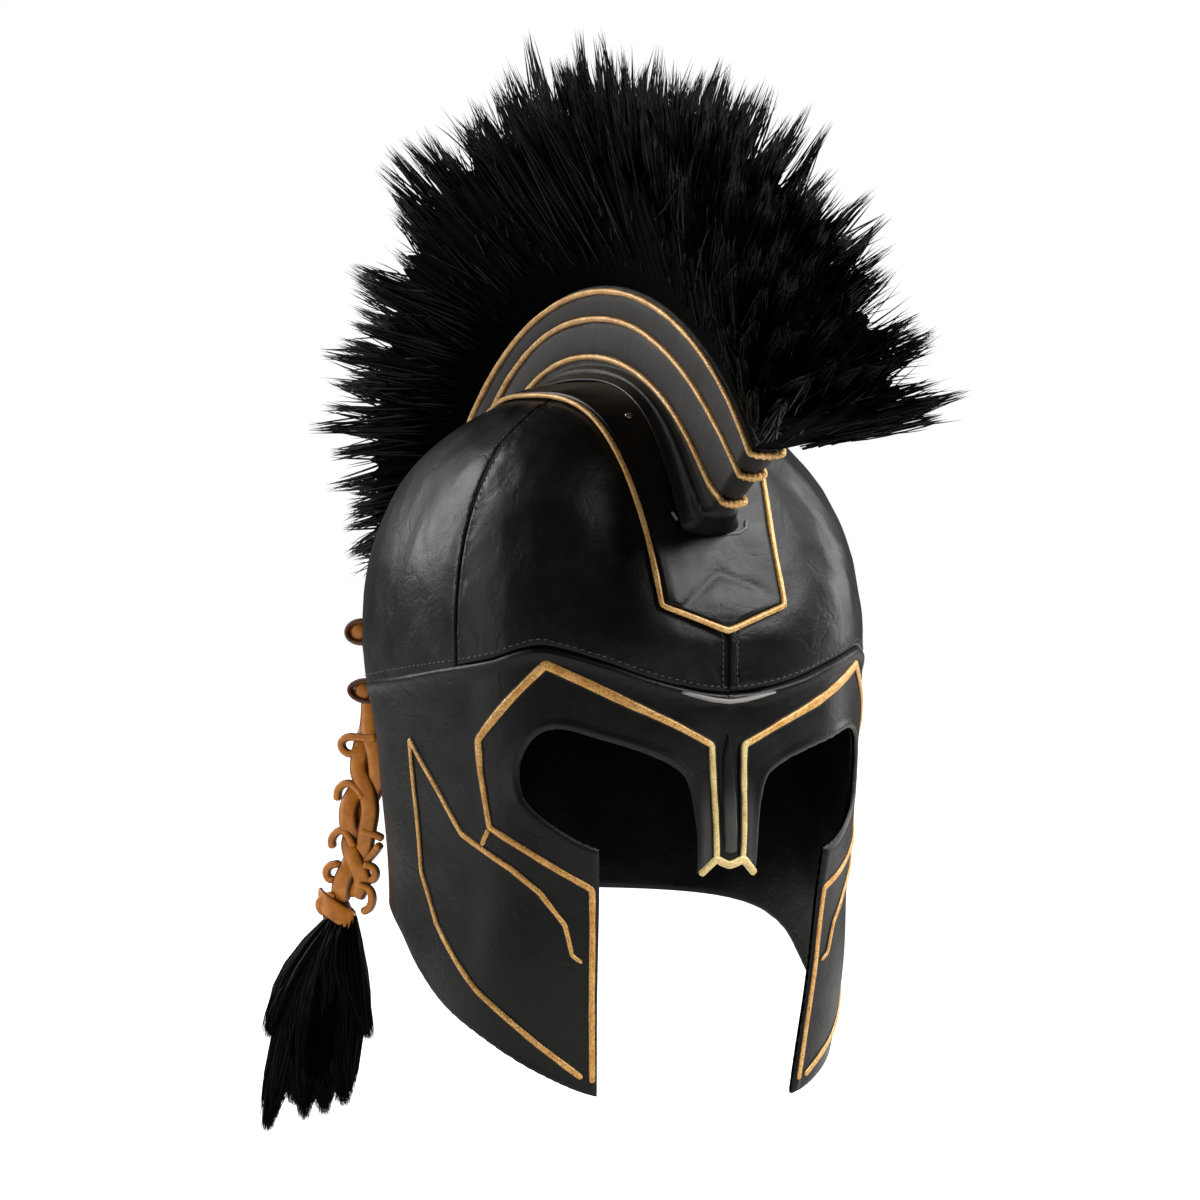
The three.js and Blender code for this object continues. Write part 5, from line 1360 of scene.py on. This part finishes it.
tasselTop = braidTop - lacing["braidLength"] - lacing["bindingHeight"] - 2 * shell["fit"]
tasselOut = braidOut + lacing["braidLean"] + lacing["bindingLean"]
tasselRows = [(0, 0.3), (0.1, 0.5), (0.3, 0.84), (0.55, 1), (0.8, 0.86), (1, 0.55)]
coreDrop, coreSpin = np.meshgrid(np.linspace(-0.04, 0.72, 46), np.linspace(0, 2 * np.pi, 60, endpoint=False),
                                 indexing="ij")
fluting = 1 + 0.1 * np.sin(coreSpin * 9 + 3 * coreDrop) + 0.05 * np.sin(coreSpin * 17 + 1)
coreSpread = smoothTable(tasselRows, np.clip(coreDrop, 0,
                                             1)) * 0.74 * fluting * np.sqrt(np.clip((0.72 - coreDrop) / 0.2,
                                                                                    0, 1))
coreSpread[0] = 0
core = lacePoint(tasselTop - coreDrop * lacing["tasselLength"],
                 tasselOut + lacing["tasselLean"] * coreDrop + lacing["tasselHalf"][1] * coreSpread
                 * np.cos(coreSpin),
                 lacing["tasselHalf"][0] * coreSpread * np.sin(coreSpin))
addPiece("tasselHeart", core, gridFaces(46, 60, wrapColumns=True), shadedHorsehair, ["tassel"],
         tones=np.full(core.shape[0] * core.shape[1], 0.1))

# pointed locks of the tassel: where each ends (down, outwards, towards the viewer's side) in millimetres
# and how
# many hairs it has
tasselTips = [(139, 45, 4, 380), (179, 47, 2, 950), (168, 39, -7, 500), (174, 29, 5, 700), (172, 22, 0, 700),
              (168, 11.5, 3, 700), (139, 1.5, 2, 420), (160, 17, -9, 350), (163, 32, -10, 300)]
draw = np.random.default_rng(seedOf["tassel"])
counts = np.array([row[3] for row in tasselTips])
lock = np.repeat(np.arange(len(tasselTips)), counts)
ends = np.array([row[:3] for row in tasselTips])[lock]
hairs = len(lock)
lean = (ends[:, 1] - 22) / 26 + draw.normal(0, 0.32, hairs)
lean = np.clip(lean, -1, 1)
depth = np.clip(ends[:, 2] / 12 + draw.normal(0, 0.45, hairs), -1, 1) * np.sqrt(np.clip(1 - lean**2, 0.1, 1))
rootPlace = np.stack([89 + draw.uniform(-2, 3, hairs), 14 + 6 * lean, 5 * depth], -1)
middlePlace = np.stack([122 + draw.normal(0, 3, hairs), 23 + 20 * lean, 14 * depth], -1)
tipPlace = ends + draw.normal(0, 1, (hairs, 3)) * [0.5, 1.4, 1.4]
back = draw.uniform(0, 0.3, hairs)[:, None] ** 1.3
tipPlace = tipPlace + (middlePlace - tipPlace) * back
middlePlace[:, 0] = (rootPlace[:, 0] + tipPlace[:, 0]) / 2
roots, middle, tips = (lacePoint(braidTop - place[:, 0] * mm, braidOut + place[:, 1] * mm, place[:, 2] * mm)
                       for place in (rootPlace, middlePlace, tipPlace))
bends = 2 * (middle - (roots + tips) / 2) * 0.8
hairBundle("tasselLocks", roots, tips, bends, 0.44 * mm, 6, [])
print("stage: braid and tassel")


# stitches

def stitches(name, path, normal, spacing, length, radius, tilt, replaced=()):
    # short beads of thread laid along a path, each turned a little across it
    steps = np.r_[0, np.cumsum(np.linalg.norm(np.diff(path, axis=0), axis=1))]
    at = np.arange(spacing / 2, steps[-1], spacing)
    centre = np.stack([np.interp(at, steps, path[:, k]) for k in range(3)], -1)
    up = unit(np.stack([np.interp(at, steps, normal[:, k]) for k in range(3)], -1))
    ahead = unit(np.stack([np.interp(at + 1e-4, steps, path[:, k]) for k in range(3)], -1) - centre + 1e-12)
    side = np.cross(up, ahead)
    along = unit(ahead * np.cos(tilt) + side * np.sin(tilt))
    wide = np.cross(up, along)
    lat = np.linspace(0, np.pi, 7)[None, :, None, None]
    lon = (np.arange(8) / 8 * 2 * np.pi)[None, None, :, None]
    bead = (along[:, None, None] * np.cos(lat) * length / 2
            + (wide[:, None, None] * np.cos(lon) + up[:, None, None] * np.sin(lon)) * np.sin(lat) ** 0.7
            * radius)
    points = centre[:, None, None] + bead
    quads = gridFaces(7, 8, wrapColumns=True)
    faces = (quads[None] + np.arange(len(at))[:, None, None] * 56).reshape(-1, 4)
    return addPiece(name, points, faces, waxedThread, list(replaced))


stitching = {"spacing": 3.2 * mm, "length": 1.9 * mm, "radius": 0.26 * mm}
for label, sign in (("Right", -1), ("Left", 1)):
    level = np.linspace(-0.04, 0.74, 140)
    for offset, tag in ((-1.9, "Front"), (1.9, "Rear")):
        radius = np.hypot(*shellPoint(np.radians(sign * shell["sideSeam"]) + 0 * level, level)[:, :2].T)
        angle = sign * (np.radians(shell["sideSeam"]) + offset * mm / radius)
        normal = shellNormal(angle, level)
        path = shellPoint(angle, level) + normal * (leatherRelief(angle, level) + 0.02 * mm)[:, None]
        stitches("sideStitches" + tag + label, path, normal, stitching["spacing"], stitching["length"],
                 stitching["radius"], 0.12)
angle = np.radians(np.linspace(-179.9, 179.9, 900))
level = -seamDrop(angle) + 2.6 * mm / shell["guardDepth"]
normal = shellNormal(angle, level)
path = shellPoint(angle, level) + normal * (leatherRelief(angle, level) + 0.02 * mm)[:, None]
stitches("seamStitches", path, normal, stitching["spacing"], stitching["length"], stitching["radius"], 0.1)
for x, tag in ((-2.2 * mm, "Right"), (4.6 * mm, "Left")):
    level = np.linspace(-0.1, 0.1, 60)
    radius = np.hypot(*shellPoint(0 * level, level)[:, :2].T)
    angle = x / radius
    normal = shellNormal(angle, level)
    path = shellPoint(angle, level) + normal * (leatherRelief(angle, level) + 0.1 * mm)[:, None]
    stitches("frontStitches" + tag, path, normal, 2.6 * mm, 1.8 * mm, 0.27 * mm, 0.15)
print("stage: stitches")
